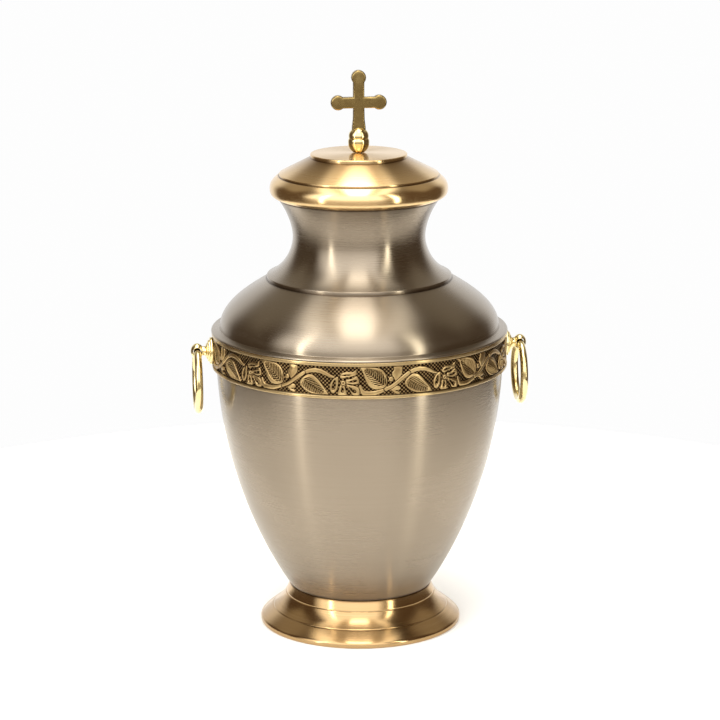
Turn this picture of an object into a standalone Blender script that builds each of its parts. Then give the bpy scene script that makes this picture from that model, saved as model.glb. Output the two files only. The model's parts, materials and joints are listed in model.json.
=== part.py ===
"""Cremation urn: a turned pewter-finish vessel with a brass foot and lid, a cast leaf-scroll band,
a cross finial and two drop-ring handles. Metres, +Z up, origin at the centre of the foot's underside."""

import math

import bmesh
import bpy
from mathutils import Matrix, Vector
from mathutils.geometry import delaunay_2d_cdt

# Gap between pieces that touch, and how finely round pieces are faceted
FIT_GAP = 0.0003
TURN_SEGMENTS = 32

# Foot: a turned bell, open below, with a flat deck that carries the vessel
FOOT_HEIGHT = 0.0249
FOOT_RIM_RADIUS = 0.0642
FOOT_RIM_HEIGHT = 0.0022
FOOT_RIM_ROUNDING = 0.0018
FOOT_RIM_ROUNDING_HEIGHT = 0.0023
FOOT_TOP_RADIUS = 0.0453
FOOT_WALL = 0.0024
FOOT_DECK = 0.0030
FOOT_BELL_LOW_PULL = 0.0108
FOOT_BELL_HIGH_PULL = 0.0128
FOOT_BELL_LOW_ANGLE = 140
FOOT_BELL_HIGH_ANGLE = 109

# Vessel: bowl, straight seat under the band, ledge, shoulder, step and flared neck
WALL = 0.0022
BOWL_HEIGHT = 0.1430
BOWL_TOP_RADIUS = 0.0905
BOWL_FLOOR = 0.0030
BOWL_LOW_ANGLE = 56
BOWL_HIGH_ANGLE = 88
BOWL_LOW_PULL = 0.0490
BOWL_HIGH_PULL = 0.0490
BAND_SEAT_DEPTH = 0.0018
LEDGE_OVERHANG = 0.0002
LEDGE_EDGE = 0.0011
LEDGE_RISE = 0.0006
SHOULDER_INSET = 0.0022
SHOULDER_HEIGHT = 0.0312
SHOULDER_LOW_PULL = 0.0130
SHOULDER_HIGH_PULL = 0.0190
SHOULDER_LOW_ANGLE = 91
SHOULDER_HIGH_ANGLE = 149
COLLAR_RADIUS = 0.0581
COLLAR_SHELF = 0.0009
COLLAR_HEIGHT = 0.0024
NECK_RADIUS = 0.0416
NECK_LOW_HEIGHT = 0.0243
NECK_LOW_PULL = 0.0125
NECK_WAIST_PULL = 0.0078
NECK_LOW_ANGLE = 157
NECK_RIM_RADIUS = 0.0510
NECK_FLARE_HEIGHT = 0.0246
NECK_FLARE_ANGLE = 50
NECK_FLARE_PULL = 0.0078
MOUTH_DEPTH = 0.0090

# Ornament band: two plain rims with a carved field between them
BAND_PROUD = 0.0029
BAND_LOW_RIM = 0.0020
BAND_HIGH_RIM = 0.0024
BAND_FIELD_HEIGHT = 0.0181
BAND_GROUND_DEPTH = 0.0014
BAND_SEGMENTS_PER_REPEAT = 5
REPEATS = 9
RELIEF_HEIGHT = 0.0008
RELIEF_CROWN = 0.0003
RELIEF_SLOPE = 0.00035
RELIEF_MARGIN = 0.00036
FIRST_FLOWER_ANGLE = -102.6
FLOWER_SHARE = 0.141

# Lid: hollow, with a fat bead, a cone with an upright edge, a raised top disc and a spigot
LID_WALL = 0.0022
LID_SEAT_RADIUS = 0.0514
LID_BEAD_RADIUS = 0.0558
LID_BEAD_HEIGHT = 0.0135
LID_BEAD_TOP_RADIUS = 0.0509
LID_BEAD_LOW_ANGLE = 20
LID_BEAD_HIGH_ANGLE = 142
LID_BEAD_LOW_PULL = 0.0032
LID_BEAD_HIGH_PULL = 0.0040
LID_BEAD_MIDDLE = 0.0054
LID_CONE_RADIUS = 0.0499
LID_CONE_EDGE = 0.0014
LID_CONE_HEIGHT = 0.0100
LID_DISC_RADIUS = 0.0303
LID_DISC_HEIGHT = 0.0025
LID_DISC_EDGE = 0.0005
LID_DISC_CROWN = 0.0005
LID_SPIGOT_LENGTH = 0.0080
LID_SPIGOT_WALL = 0.0024
LID_CLEARANCE = 0.0004

# Cross finial: a turned ball and collar under a flat cast cross with round ends
FINIAL_SEAT_RADIUS = 0.0037
BALL_RADIUS = 0.0067
BALL_HEIGHT = 0.0086
BALL_MIDDLE = 0.0064
FINIAL_GROOVE_RADIUS = 0.0060
COLLAR_BEAD_RADIUS = 0.0063
COLLAR_BEAD_HEIGHT = 0.0058
FINIAL_SEGMENTS = 12
CROSS_HEIGHT = 0.0369
CROSS_ARM_HEIGHT = 0.0166
CROSS_SPAN = 0.0354
CROSS_BAR_WIDTH = 0.0070
CROSS_FOOT_WIDTH = 0.0085
CROSS_LOBE_RADIUS = 0.0046
CROSS_THICKNESS = 0.0050
CROSS_EDGE = 0.0011
CROSS_ROOT = 0.0030

# Handle bosses: a stepped rosette, a stem and a cross-drilled knob, turned about a radial axis
BOSS_HEIGHT = 0.0043
ROSETTE_RADIUS = 0.0086
ROSETTE_STEPS = 3
STEM_RADIUS = 0.0029
STEM_LENGTH = 0.0018
KNOB_RADIUS = 0.0049
KNOB_HALF_LENGTH = 0.0041
EYE_CLEARANCE = 0.0003
BOSS_SEGMENTS = 12
EYE_SEGMENTS = 10

# Drop rings, a little thinner at the top, where they pass through the knob
RING_RADIUS = 0.0187
RING_WIRE_TOP = 0.0023
RING_WIRE_BOTTOM = 0.0026
RING_STEPS = 24
RING_SIDES = 6

# Heights of the joints between pieces, from the foot upwards
VESSEL_BOTTOM = FOOT_HEIGHT + FIT_GAP
BAND_BOTTOM = VESSEL_BOTTOM + BOWL_HEIGHT + FIT_GAP
BAND_HEIGHT = BAND_LOW_RIM + BAND_FIELD_HEIGHT + BAND_HIGH_RIM
LEDGE_BOTTOM = BAND_BOTTOM + BAND_HEIGHT + FIT_GAP
SHOULDER_BOTTOM = LEDGE_BOTTOM + LEDGE_EDGE + LEDGE_RISE
COLLAR_BOTTOM = SHOULDER_BOTTOM + SHOULDER_HEIGHT
NECK_BOTTOM = COLLAR_BOTTOM + COLLAR_HEIGHT
NECK_WAIST = NECK_BOTTOM + NECK_LOW_HEIGHT
NECK_RIM = NECK_WAIST + NECK_FLARE_HEIGHT
LID_BOTTOM = NECK_RIM + FIT_GAP
LID_BEAD_TOP = LID_BOTTOM + LID_BEAD_HEIGHT
LID_CONE_BOTTOM = LID_BEAD_TOP + LID_CONE_EDGE
LID_CONE_TOP = LID_CONE_BOTTOM + LID_CONE_HEIGHT
LID_TOP = LID_CONE_TOP + LID_DISC_HEIGHT + LID_DISC_CROWN
FINIAL_BOTTOM = LID_TOP + FIT_GAP

# Radii and places that follow from the pieces they fit
SEAT_RADIUS = BOWL_TOP_RADIUS - BAND_SEAT_DEPTH
SHOULDER_RADIUS = BOWL_TOP_RADIUS - SHOULDER_INSET
BAND_RIM_RADIUS = BOWL_TOP_RADIUS + BAND_PROUD
BAND_SEGMENTS = REPEATS * BAND_SEGMENTS_PER_REPEAT
BAND_BORE_RADIUS = (SEAT_RADIUS + FIT_GAP) / math.cos(math.pi / BAND_SEGMENTS)
BAND_GROUND_RADIUS = BAND_RIM_RADIUS - BAND_GROUND_DEPTH
FIELD_BOTTOM = BAND_BOTTOM + BAND_LOW_RIM
BOSS_CENTRE = FIELD_BOTTOM + BAND_FIELD_HEIGHT / 2
BOSS_SEAT_RADIUS = BAND_GROUND_RADIUS + RELIEF_HEIGHT + RELIEF_CROWN + FIT_GAP
STEM_START = BOSS_SEAT_RADIUS + BOSS_HEIGHT
KNOB_START = STEM_START + STEM_LENGTH
KNOB_CENTRE = KNOB_START + KNOB_HALF_LENGTH * math.sqrt(1 - (STEM_RADIUS / KNOB_RADIUS) ** 2)

PEWTER = ("pewter_finish", (0.36, 0.31, 0.25), 0.30)
BRASS = ("brushed_brass", (0.66, 0.48, 0.25), 0.28)
POLISHED_BRASS = ("polished_brass", (0.72, 0.56, 0.24), 0.14)
ANTIQUE_BRASS = ("antique_brass", (0.50, 0.36, 0.18), 0.42)


def material(finish):
    """The metal for one finish, made once."""
    name, colour, roughness = finish
    found = bpy.data.materials.get(name)
    if found:
        return found
    made = bpy.data.materials.new(name)
    made.use_nodes = True
    shader = made.node_tree.nodes["Principled BSDF"]
    shader.inputs["Base Color"].default_value = (*colour, 1.0)
    shader.inputs["Metallic"].default_value = 1.0
    shader.inputs["Roughness"].default_value = roughness
    return made


def new_object(name, mesh_source, finish, crease_degrees=35):
    """Turns a bmesh into a smooth-shaded object with one material."""
    bmesh.ops.recalc_face_normals(mesh_source, faces=mesh_source.faces)
    mesh = bpy.data.meshes.new(name)
    mesh_source.to_mesh(mesh)
    mesh_source.free()
    mesh.shade_smooth()
    mesh.set_sharp_from_angle(angle=math.radians(crease_degrees))
    mesh.materials.append(material(finish))
    made = bpy.data.objects.new(name, mesh)
    bpy.context.collection.objects.link(made)
    return made


def curve(start, start_angle, start_pull, end, end_angle, end_pull, steps):
    """Points of a cubic curve between two profile points; angles turn from outwards to upwards."""
    start_turn = math.radians(start_angle)
    end_turn = math.radians(end_angle)
    first = Vector(start)
    last = Vector(end)
    second = first + start_pull * Vector((math.cos(start_turn), math.sin(start_turn)))
    third = last - end_pull * Vector((math.cos(end_turn), math.sin(end_turn)))
    points = []
    for step in range(steps + 1):
        t = step / steps
        point = (1 - t) ** 3 * first + 3 * (1 - t) ** 2 * t * second
        point += 3 * (1 - t) * t ** 2 * third + t ** 3 * last
        points.append((point.x, point.y))
    return points


def moved_in(points, wall):
    """A profile line that runs upwards, moved by the wall's thickness towards the inside."""
    moved = []
    for index, (radius, height) in enumerate(points):
        before = points[max(index - 1, 0)]
        after = points[min(index + 1, len(points) - 1)]
        along = Vector((after[0] - before[0], after[1] - before[1])).normalized()
        moved.append((radius - wall * along.y, height + wall * along.x))
    return moved


def between_heights(points, low, high):
    """The part of a rising profile line that lies between two heights."""
    kept = []
    for (radius, height), (next_radius, next_height) in zip(points, points[1:]):
        for cut in (low, high):
            if height < cut < next_height and cut == low:
                share = (cut - height) / (next_height - height)
                kept.append((radius + share * (next_radius - radius), cut))
        if low <= next_height <= high:
            kept.append((next_radius, next_height))
        elif height < high < next_height:
            share = (high - height) / (next_height - height)
            kept.append((radius + share * (next_radius - radius), high))
    if low <= points[0][1] <= high:
        kept.insert(0, points[0])
    return kept


def radius_at(points, height):
    """Radius of a rising profile line at one height."""
    for (radius, low), (next_radius, high) in zip(points, points[1:]):
        if low <= height <= high:
            return radius + (next_radius - radius) * (height - low) / (high - low)
    return points[-1][0]


def revolve(mesh, profile, segments, closed):
    """Adds a profile of (radius, height) points turned about Z; a zero radius is a point on the axis."""
    rings = []
    for radius, height in profile:
        if radius == 0:
            rings.append([mesh.verts.new((0, 0, height))])
            continue
        ring = []
        for segment in range(segments):
            turn = 2 * math.pi * segment / segments
            ring.append(mesh.verts.new((radius * math.cos(turn), radius * math.sin(turn), height)))
        rings.append(ring)
    pairs = list(zip(rings, rings[1:]))
    if closed:
        pairs.append((rings[-1], rings[0]))
    for ring, next_ring in pairs:
        if len(ring) == 1 and len(next_ring) == 1:
            continue
        for segment in range(segments):
            following = (segment + 1) % segments
            corners = []
            corners.append(ring[segment % len(ring)])
            if len(ring) > 1:
                corners.append(ring[following])
            if len(next_ring) > 1:
                corners.append(next_ring[following])
            corners.append(next_ring[segment % len(next_ring)])
            mesh.faces.new(corners)
    return rings


def turned(name, profile, finish, segments=TURN_SEGMENTS, closed=False):
    """A piece turned about the vertical axis."""
    mesh = bmesh.new()
    revolve(mesh, profile, segments, closed)
    return new_object(name, mesh, finish)


def boolean(target, cutter, operation):
    """Joins or cuts two objects for good and removes the second."""
    modifier = target.modifiers.new(operation.lower(), "BOOLEAN")
    modifier.operation = operation
    modifier.solver = "EXACT"
    modifier.object = cutter
    bpy.context.view_layer.update()
    evaluated = target.evaluated_get(bpy.context.evaluated_depsgraph_get())
    result = bmesh.new()
    result.from_mesh(evaluated.to_mesh())
    evaluated.to_mesh_clear()
    target.modifiers.clear()
    bmesh.ops.dissolve_degenerate(result, dist=1e-6, edges=result.edges)
    result.to_mesh(target.data)
    result.free()
    bpy.data.objects.remove(cutter)
    target.data.shade_smooth()
    target.data.set_sharp_from_angle(angle=math.radians(35))


def make_foot():
    """Bell foot with an open underside and a closed deck on top."""
    bell_radius = FOOT_RIM_RADIUS - FOOT_RIM_ROUNDING
    bell_height = FOOT_RIM_HEIGHT + FOOT_RIM_ROUNDING_HEIGHT
    rounding = curve((FOOT_RIM_RADIUS, FOOT_RIM_HEIGHT), 90, FOOT_RIM_ROUNDING / 2,
                     (bell_radius, bell_height), FOOT_BELL_LOW_ANGLE, FOOT_RIM_ROUNDING / 2, 2)
    bell = curve((bell_radius, bell_height), FOOT_BELL_LOW_ANGLE, FOOT_BELL_LOW_PULL,
                 (FOOT_TOP_RADIUS, FOOT_HEIGHT), FOOT_BELL_HIGH_ANGLE, FOOT_BELL_HIGH_PULL, 6)
    deck = FOOT_HEIGHT - FOOT_DECK
    rim_inside = FOOT_RIM_RADIUS - 2 * FOOT_WALL
    hollow = between_heights(moved_in(bell[::2], FOOT_WALL), FOOT_RIM_HEIGHT, deck)
    profile = [(rim_inside, 0), (FOOT_RIM_RADIUS, 0)] + rounding + bell[1:]
    profile += [(0, FOOT_HEIGHT), (0, deck)] + hollow[::-1]
    return turned("foot", profile, BRASS, closed=True)


def neck_outline():
    """The neck's outer line, from the collar to the rim."""
    low = curve((COLLAR_RADIUS, NECK_BOTTOM), NECK_LOW_ANGLE, NECK_LOW_PULL,
                (NECK_RADIUS, NECK_WAIST), 90, NECK_WAIST_PULL, 4)
    high = curve((NECK_RADIUS, NECK_WAIST), 90, NECK_WAIST_PULL,
                 (NECK_RIM_RADIUS, NECK_RIM), NECK_FLARE_ANGLE, NECK_FLARE_PULL, 4)
    return low + high[1:]


def mouth_radius():
    """Straight bore at the top of the neck, which leaves the wall's thickness at its lower end."""
    return radius_at(neck_outline(), NECK_RIM - MOUTH_DEPTH) - WALL


def make_vessel():
    """Hollow body, open at the neck."""
    bowl = curve((FOOT_TOP_RADIUS, VESSEL_BOTTOM), BOWL_LOW_ANGLE, BOWL_LOW_PULL,
                 (BOWL_TOP_RADIUS, VESSEL_BOTTOM + BOWL_HEIGHT), BOWL_HIGH_ANGLE, BOWL_HIGH_PULL, 8)
    ledge_radius = BAND_RIM_RADIUS + LEDGE_OVERHANG
    ledge_top = LEDGE_BOTTOM + LEDGE_EDGE
    shoulder = curve((SHOULDER_RADIUS, SHOULDER_BOTTOM), SHOULDER_LOW_ANGLE, SHOULDER_LOW_PULL,
                     (COLLAR_RADIUS + COLLAR_SHELF, COLLAR_BOTTOM), SHOULDER_HIGH_ANGLE,
                     SHOULDER_HIGH_PULL, 5)
    neck = neck_outline()
    outside = [(0, VESSEL_BOTTOM)] + bowl
    outside += [(SEAT_RADIUS, bowl[-1][1]), (SEAT_RADIUS, LEDGE_BOTTOM)]
    outside += [(ledge_radius, LEDGE_BOTTOM), (ledge_radius - LEDGE_EDGE / 2, ledge_top)]
    outside += shoulder + [(COLLAR_RADIUS, COLLAR_BOTTOM)] + neck

    mouth = mouth_radius()
    mouth_floor = NECK_RIM - MOUTH_DEPTH
    floor = VESSEL_BOTTOM + BOWL_FLOOR
    inner_bowl = between_heights(moved_in(bowl[::2], WALL), floor, VESSEL_BOTTOM + BOWL_HEIGHT - 2 * WALL)
    inner_shoulder = moved_in(shoulder[1:4], WALL)
    moved_neck = moved_in(neck, WALL)
    inner_neck = moved_neck[1:2] + moved_neck[2:7:2]
    inside = [(mouth, NECK_RIM), (mouth, mouth_floor)] + inner_neck[::-1]
    inside += inner_shoulder[::-1]
    inside += [(SEAT_RADIUS - WALL, SHOULDER_BOTTOM), (SEAT_RADIUS - WALL, BAND_BOTTOM)]
    inside += inner_bowl[::-1] + [(0, floor)]
    return turned("vessel", outside + inside, PEWTER)


def leaf_outline(root, tip, half_width, fullness, points_per_side):
    """Closed outline of a leaf or petal; a fullness over 1 puts its broadest place nearer the tip."""
    axis = tip - root
    side = Vector((-axis.y, axis.x)).normalized()
    left = []
    right = []
    for step in range(1, points_per_side + 1):
        t = step / (points_per_side + 1)
        width = half_width * math.sin(math.pi * t ** fullness)
        left.append(root + t * axis + width * side)
        right.append(root + t * axis - width * side)
    return [root] + left + [tip] + right[::-1]


def round_outline(centre, radius, points):
    """Closed outline of a berry or a flower's eye."""
    turns = [2 * math.pi * step / points for step in range(points)]
    return [centre + radius * Vector((math.cos(turn), math.sin(turn))) for turn in turns]


def stem_outline(points_along, half_width, place):
    """Closed outline of the waving stem, and the points of its ridge."""
    start, lowest, half_wave, end = 0.297, 0.405, 0.489, 0.984
    middle, swing = 0.445, 0.390
    ridge = []
    for step in range(points_along):
        u = start + (end - start) * step / (points_along - 1)
        ridge.append(place(u, middle - swing * math.cos(math.pi * (u - lowest) / half_wave)))
    upper = []
    lower = []
    for index, point in enumerate(ridge):
        along = ridge[min(index + 1, points_along - 1)] - ridge[max(index - 1, 0)]
        side = Vector((-along.y, along.x)).normalized()
        upper.append(point + half_width * side)
        lower.append(point - half_width * side)
    return upper + lower[::-1], ridge[1:-1]


def motif_shapes(pitch, height):
    """One repeat of the scroll as (outline, points on top, half width), in metres of the unrolled field.

    Every place is a share of the repeat's length and of the field's height."""
    def place(u, v):
        return Vector((u * pitch, v * height))

    shapes = []
    petals = [
        ((0.110, 0.690), (0.256, 0.830), 0.104),
        ((0.180, 0.480), (0.292, 0.510), 0.146),
        ((0.185, 0.317), (0.284, 0.080), 0.134),
        ((0.132, 0.305), (0.129, 0.035), 0.140),
        ((0.085, 0.670), (0.039, 0.098), 0.116),
    ]
    for root, tip, share in petals:
        base = place(*root)
        end = place(*tip)
        outline = leaf_outline(base, end, share * height, 1.5, 2)
        shapes.append((outline, [base.lerp(end, 0.55)], share * height))
    eye = place(FLOWER_SHARE, 0.445)
    shapes.append((round_outline(eye, 0.122 * height, 6), [eye], 0.122 * height))
    berry = place(0.576, 0.573)
    shapes.append((round_outline(berry, 0.091 * height, 5), [berry], 0.091 * height))

    leaves = [
        ((0.530, 0.323), (0.304, 0.960), 0.354, 0.82, 3),
        ((0.728, 0.463), (0.978, 0.073), 0.300, 0.63, 3),
        ((0.620, 0.415), (0.635, 0.960), 0.189, 1.61, 3),
        ((0.557, 0.238), (0.672, 0.061), 0.134, 1.00, 2),
    ]
    for root, tip, share, fullness, points in leaves:
        base = place(*root)
        end = place(*tip)
        inset = RELIEF_SLOPE * (end - base).normalized()
        outline = leaf_outline(base, end, share * height, fullness, points)
        top = leaf_outline(base + 2 * inset, end - 2 * inset, share * height - RELIEF_SLOPE, fullness,
                           points - 1)
        shapes.append((outline, top + [base.lerp(end, 0.45)], share * height))

    stem_half_width = 0.062 * height
    outline, ridge = stem_outline(7, stem_half_width, place)
    shapes.append((outline, ridge, stem_half_width))
    kept = []
    for outline, top, half_width in shapes:
        for point in outline + top:
            point.y = min(max(point.y, RELIEF_MARGIN), height - RELIEF_MARGIN)
        kept.append((outline, top, half_width))
    return kept


def depth_inside(point, outline):
    """How far a point lies inside an outline; nothing when it is outside."""
    crossings = 0
    nearest = math.inf
    for start, end in zip(outline, outline[1:] + outline[:1]):
        if (start.y > point.y) != (end.y > point.y):
            across = start.x + (point.y - start.y) / (end.y - start.y) * (end.x - start.x)
            crossings += across > point.x
        edge = end - start
        share = min(max((point - start).dot(edge) / max(edge.length_squared, 1e-18), 0), 1)
        nearest = min(nearest, (start + share * edge - point).length)
    return nearest if crossings % 2 else 0.0


def carved_height(point, shapes):
    """Height of the carving above its ground."""
    highest = 0.0
    for outline, _, half_width in shapes:
        depth = depth_inside(point, outline)
        rise = RELIEF_HEIGHT * min(depth / RELIEF_SLOPE, 1)
        rise += RELIEF_CROWN * min(depth / half_width, 1)
        highest = max(highest, rise)
    return highest


def carved_tile(pitch, height):
    """One repeat of the field as flat points with their heights, and its triangles."""
    shapes = motif_shapes(pitch, height)
    points = []
    edges = []
    for level in (0, height):
        for step in range(BAND_SEGMENTS_PER_REPEAT + 1):
            points.append(Vector((pitch * step / BAND_SEGMENTS_PER_REPEAT, level)))
    for outline, top, _ in shapes:
        first = len(points)
        points += outline
        edges += [(first + step, first + (step + 1) % len(outline)) for step in range(len(outline))]
        points += top
    found, _, faces, _, _, _ = delaunay_2d_cdt(points, edges, [], 0, 1e-7)
    heights = []
    for point in found:
        on_edge = point.y < 1e-6 or point.y > height - 1e-6
        heights.append(0.0 if on_edge else carved_height(point, shapes))
    return found, heights, faces


def make_band():
    """Ring with a bore on the vessel's seat, plain rims and the carved field."""
    mesh = bmesh.new()
    field_top = FIELD_BOTTOM + BAND_FIELD_HEIGHT
    pitch = 2 * math.pi * BAND_GROUND_RADIUS / REPEATS
    points, heights, faces = carved_tile(pitch, BAND_FIELD_HEIGHT)
    for repeat in range(REPEATS):
        tile = []
        for point, rise in zip(points, heights):
            turn = math.radians(FIRST_FLOWER_ANGLE)
            turn += 2 * math.pi / REPEATS * (repeat + point.x / pitch - FLOWER_SHARE)
            radius = BAND_GROUND_RADIUS + rise
            place = (radius * math.cos(turn), radius * math.sin(turn), FIELD_BOTTOM + point.y)
            tile.append(mesh.verts.new(place))
        for face in faces:
            mesh.faces.new([tile[index] for index in face])
    first_turn = math.radians(FIRST_FLOWER_ANGLE) - 2 * math.pi / REPEATS * FLOWER_SHARE
    band_top = BAND_BOTTOM + BAND_HEIGHT
    profile = [
        (BAND_GROUND_RADIUS, field_top),
        (BAND_RIM_RADIUS, field_top),
        (BAND_RIM_RADIUS, band_top),
        (BAND_BORE_RADIUS, band_top),
        (BAND_BORE_RADIUS, BAND_BOTTOM),
        (BAND_RIM_RADIUS, BAND_BOTTOM),
        (BAND_RIM_RADIUS, FIELD_BOTTOM),
        (BAND_GROUND_RADIUS, FIELD_BOTTOM),
    ]
    turned_part = bmesh.new()
    revolve(turned_part, profile, BAND_SEGMENTS, closed=False)
    turned_part.transform(Matrix.Rotation(first_turn, 4, "Z"))
    rims = bpy.data.meshes.new("rims")
    turned_part.to_mesh(rims)
    turned_part.free()
    mesh.from_mesh(rims)
    bpy.data.meshes.remove(rims)
    bmesh.ops.remove_doubles(mesh, verts=mesh.verts, dist=2e-6)
    return new_object("ornament_band", mesh, ANTIQUE_BRASS, crease_degrees=25)


def make_lid():
    """Hollow lid whose spigot drops into the neck's mouth."""
    bead_middle = LID_BOTTOM + LID_BEAD_MIDDLE
    bead_low = curve((LID_SEAT_RADIUS, LID_BOTTOM), LID_BEAD_LOW_ANGLE, LID_BEAD_LOW_PULL,
                     (LID_BEAD_RADIUS, bead_middle), 90, LID_BEAD_LOW_PULL, 3)
    bead_high = curve((LID_BEAD_RADIUS, bead_middle), 90, LID_BEAD_HIGH_PULL,
                      (LID_BEAD_TOP_RADIUS, LID_BEAD_TOP), LID_BEAD_HIGH_ANGLE, LID_BEAD_HIGH_PULL, 3)
    bead = bead_low + bead_high[1:]
    cone = [(LID_CONE_RADIUS, LID_CONE_BOTTOM), (LID_DISC_RADIUS, LID_CONE_TOP)]
    disc_edge = LID_CONE_TOP + LID_DISC_HEIGHT
    outside = bead + [(LID_CONE_RADIUS, LID_BEAD_TOP)] + cone
    outside += [(LID_DISC_RADIUS, disc_edge - LID_DISC_EDGE), (LID_DISC_RADIUS - LID_DISC_EDGE, disc_edge)]
    outside += [(0, LID_TOP)]

    spigot = mouth_radius() - LID_CLEARANCE
    spigot_bottom = LID_BOTTOM - LID_SPIGOT_LENGTH
    spigot_bore = spigot - LID_SPIGOT_WALL
    flange_top = LID_BOTTOM + LID_WALL
    inner_bead = between_heights(moved_in(bead, LID_WALL), flange_top, LID_BEAD_TOP - 2 * LID_WALL)
    inner_cone = moved_in(cone, LID_WALL)
    inside = [(0, LID_CONE_TOP)] + inner_cone[::-1] + inner_bead[::-2]
    inside += [(spigot_bore, flange_top), (spigot_bore, spigot_bottom)]
    inside += [(spigot, spigot_bottom), (spigot, LID_BOTTOM)]
    return turned("lid", outside + inside, BRASS, closed=True)


def cross_outline(bottom):
    """The cross from the front, as (x, z) points, anticlockwise from the left of its foot."""
    half_bar = CROSS_BAR_WIDTH / 2
    arm_height = bottom + CROSS_ARM_HEIGHT
    lobe_turn = math.asin(half_bar / CROSS_LOBE_RADIUS)
    reach = CROSS_SPAN / 2 - CROSS_LOBE_RADIUS
    top = bottom + CROSS_HEIGHT - CROSS_LOBE_RADIUS
    points = [(-CROSS_FOOT_WIDTH / 2, bottom - CROSS_ROOT), (CROSS_FOOT_WIDTH / 2, bottom - CROSS_ROOT)]
    points.append((CROSS_FOOT_WIDTH / 2, bottom + CROSS_ROOT / 2))
    lobes = [((reach, arm_height), 0), ((0, top), 90), ((-reach, arm_height), 180)]
    for (x, z), facing in lobes:
        points.append((half_bar if facing != 180 else -half_bar,
                       arm_height + (half_bar if facing else -half_bar)))
        for step in range(8):
            turn = math.radians(facing) - math.pi + lobe_turn + 2 * (math.pi - lobe_turn) * step / 7
            points.append((x + CROSS_LOBE_RADIUS * math.cos(turn), z + CROSS_LOBE_RADIUS * math.sin(turn)))
    points.append((-half_bar, arm_height - half_bar))
    points.append((-CROSS_FOOT_WIDTH / 2, bottom + CROSS_ROOT / 2))
    return points


def make_cross():
    """Flat cross with softened edges, joined to its turned ball and collar."""
    ball_top = FINIAL_BOTTOM + BALL_HEIGHT
    collar_top = ball_top + COLLAR_BEAD_HEIGHT
    mesh = bmesh.new()
    outline = cross_outline(collar_top)
    corners = [mesh.verts.new((x, -CROSS_THICKNESS / 2, z)) for x, z in outline]
    front = mesh.faces.new(corners)
    pushed = bmesh.ops.extrude_face_region(mesh, geom=[front])
    moved = [item for item in pushed["geom"] if isinstance(item, bmesh.types.BMVert)]
    bmesh.ops.translate(mesh, verts=moved, vec=(0, CROSS_THICKNESS, 0))
    rim_edges = []
    for edge in mesh.edges:
        start, end = (corner.co.y for corner in edge.verts)
        if abs(start - end) < CROSS_THICKNESS / 2:
            rim_edges.append(edge)
    bmesh.ops.bevel(mesh, geom=rim_edges, offset=CROSS_EDGE, segments=1, affect="EDGES",
                    clamp_overlap=True)
    cross = new_object("cross_finial", mesh, POLISHED_BRASS)

    ball_middle = FINIAL_BOTTOM + BALL_MIDDLE
    bead_middle = ball_top + COLLAR_BEAD_HEIGHT / 4
    profile = [(0, FINIAL_BOTTOM), (FINIAL_SEAT_RADIUS, FINIAL_BOTTOM)]
    profile += curve((FINIAL_SEAT_RADIUS, FINIAL_BOTTOM), 38, BALL_MIDDLE / 3,
                     (BALL_RADIUS, ball_middle), 90, BALL_MIDDLE / 2, 3)[1:]
    profile += curve((BALL_RADIUS, ball_middle), 90, BALL_HEIGHT / 8,
                     (FINIAL_GROOVE_RADIUS, ball_top), 130, BALL_HEIGHT / 12, 2)[1:]
    profile.append((COLLAR_BEAD_RADIUS, bead_middle))
    profile += curve((COLLAR_BEAD_RADIUS, bead_middle), 90, COLLAR_BEAD_HEIGHT / 2,
                     (0, collar_top + CROSS_ROOT / 2), 180, COLLAR_BEAD_RADIUS / 2, 4)[1:]
    base = turned("base", profile, POLISHED_BRASS, segments=FINIAL_SEGMENTS)
    boolean(cross, base, "UNION")
    return cross


def boss_profile():
    """Half outline of a boss as (radius, distance from the urn's axis) points."""
    profile = [(0, BOSS_SEAT_RADIUS - BOSS_HEIGHT / 2), (ROSETTE_RADIUS, BOSS_SEAT_RADIUS - BOSS_HEIGHT / 2)]
    step_height = BOSS_HEIGHT / (ROSETTE_STEPS + 1)
    for step in range(ROSETTE_STEPS):
        share = math.sqrt(1 - (step / ROSETTE_STEPS) ** 2)
        radius = STEM_RADIUS + (ROSETTE_RADIUS - STEM_RADIUS) * share
        height = BOSS_SEAT_RADIUS + (step + 1) * step_height
        profile.append((radius, height))
        next_share = math.sqrt(1 - ((step + 0.6) / ROSETTE_STEPS) ** 2)
        profile.append((STEM_RADIUS + (ROSETTE_RADIUS - STEM_RADIUS) * next_share, height + step_height / 4))
    profile += [(STEM_RADIUS, STEM_START), (STEM_RADIUS, KNOB_START)]
    start_turn = math.asin(STEM_RADIUS / KNOB_RADIUS)
    knob_steps = 5
    for step in range(1, knob_steps):
        turn = start_turn + (math.pi - start_turn) * step / knob_steps
        profile.append((KNOB_RADIUS * math.sin(turn), KNOB_CENTRE - KNOB_HALF_LENGTH * math.cos(turn)))
    profile.append((0, KNOB_CENTRE + KNOB_HALF_LENGTH))
    return profile


def eye_cutter():
    """Flared hole along Y, as wide as the ring's bend needs while it swings."""
    profile = []
    reach = KNOB_RADIUS * 1.2
    steps = 4
    for step in range(steps + 1):
        along = reach * (2 * step / steps - 1)
        sag = RING_RADIUS - math.sqrt(RING_RADIUS ** 2 - along ** 2)
        profile.append((RING_WIRE_TOP + EYE_CLEARANCE + sag, along))
    profile = [(0, -reach)] + profile + [(0, reach)]
    mesh = bmesh.new()
    revolve(mesh, profile, EYE_SEGMENTS, closed=False)
    mesh.transform(Matrix.Rotation(math.pi / 2, 4, "X"))
    mesh.transform(Matrix.Translation((KNOB_CENTRE, 0, BOSS_CENTRE)))
    return new_object("eye", mesh, POLISHED_BRASS)


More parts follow.
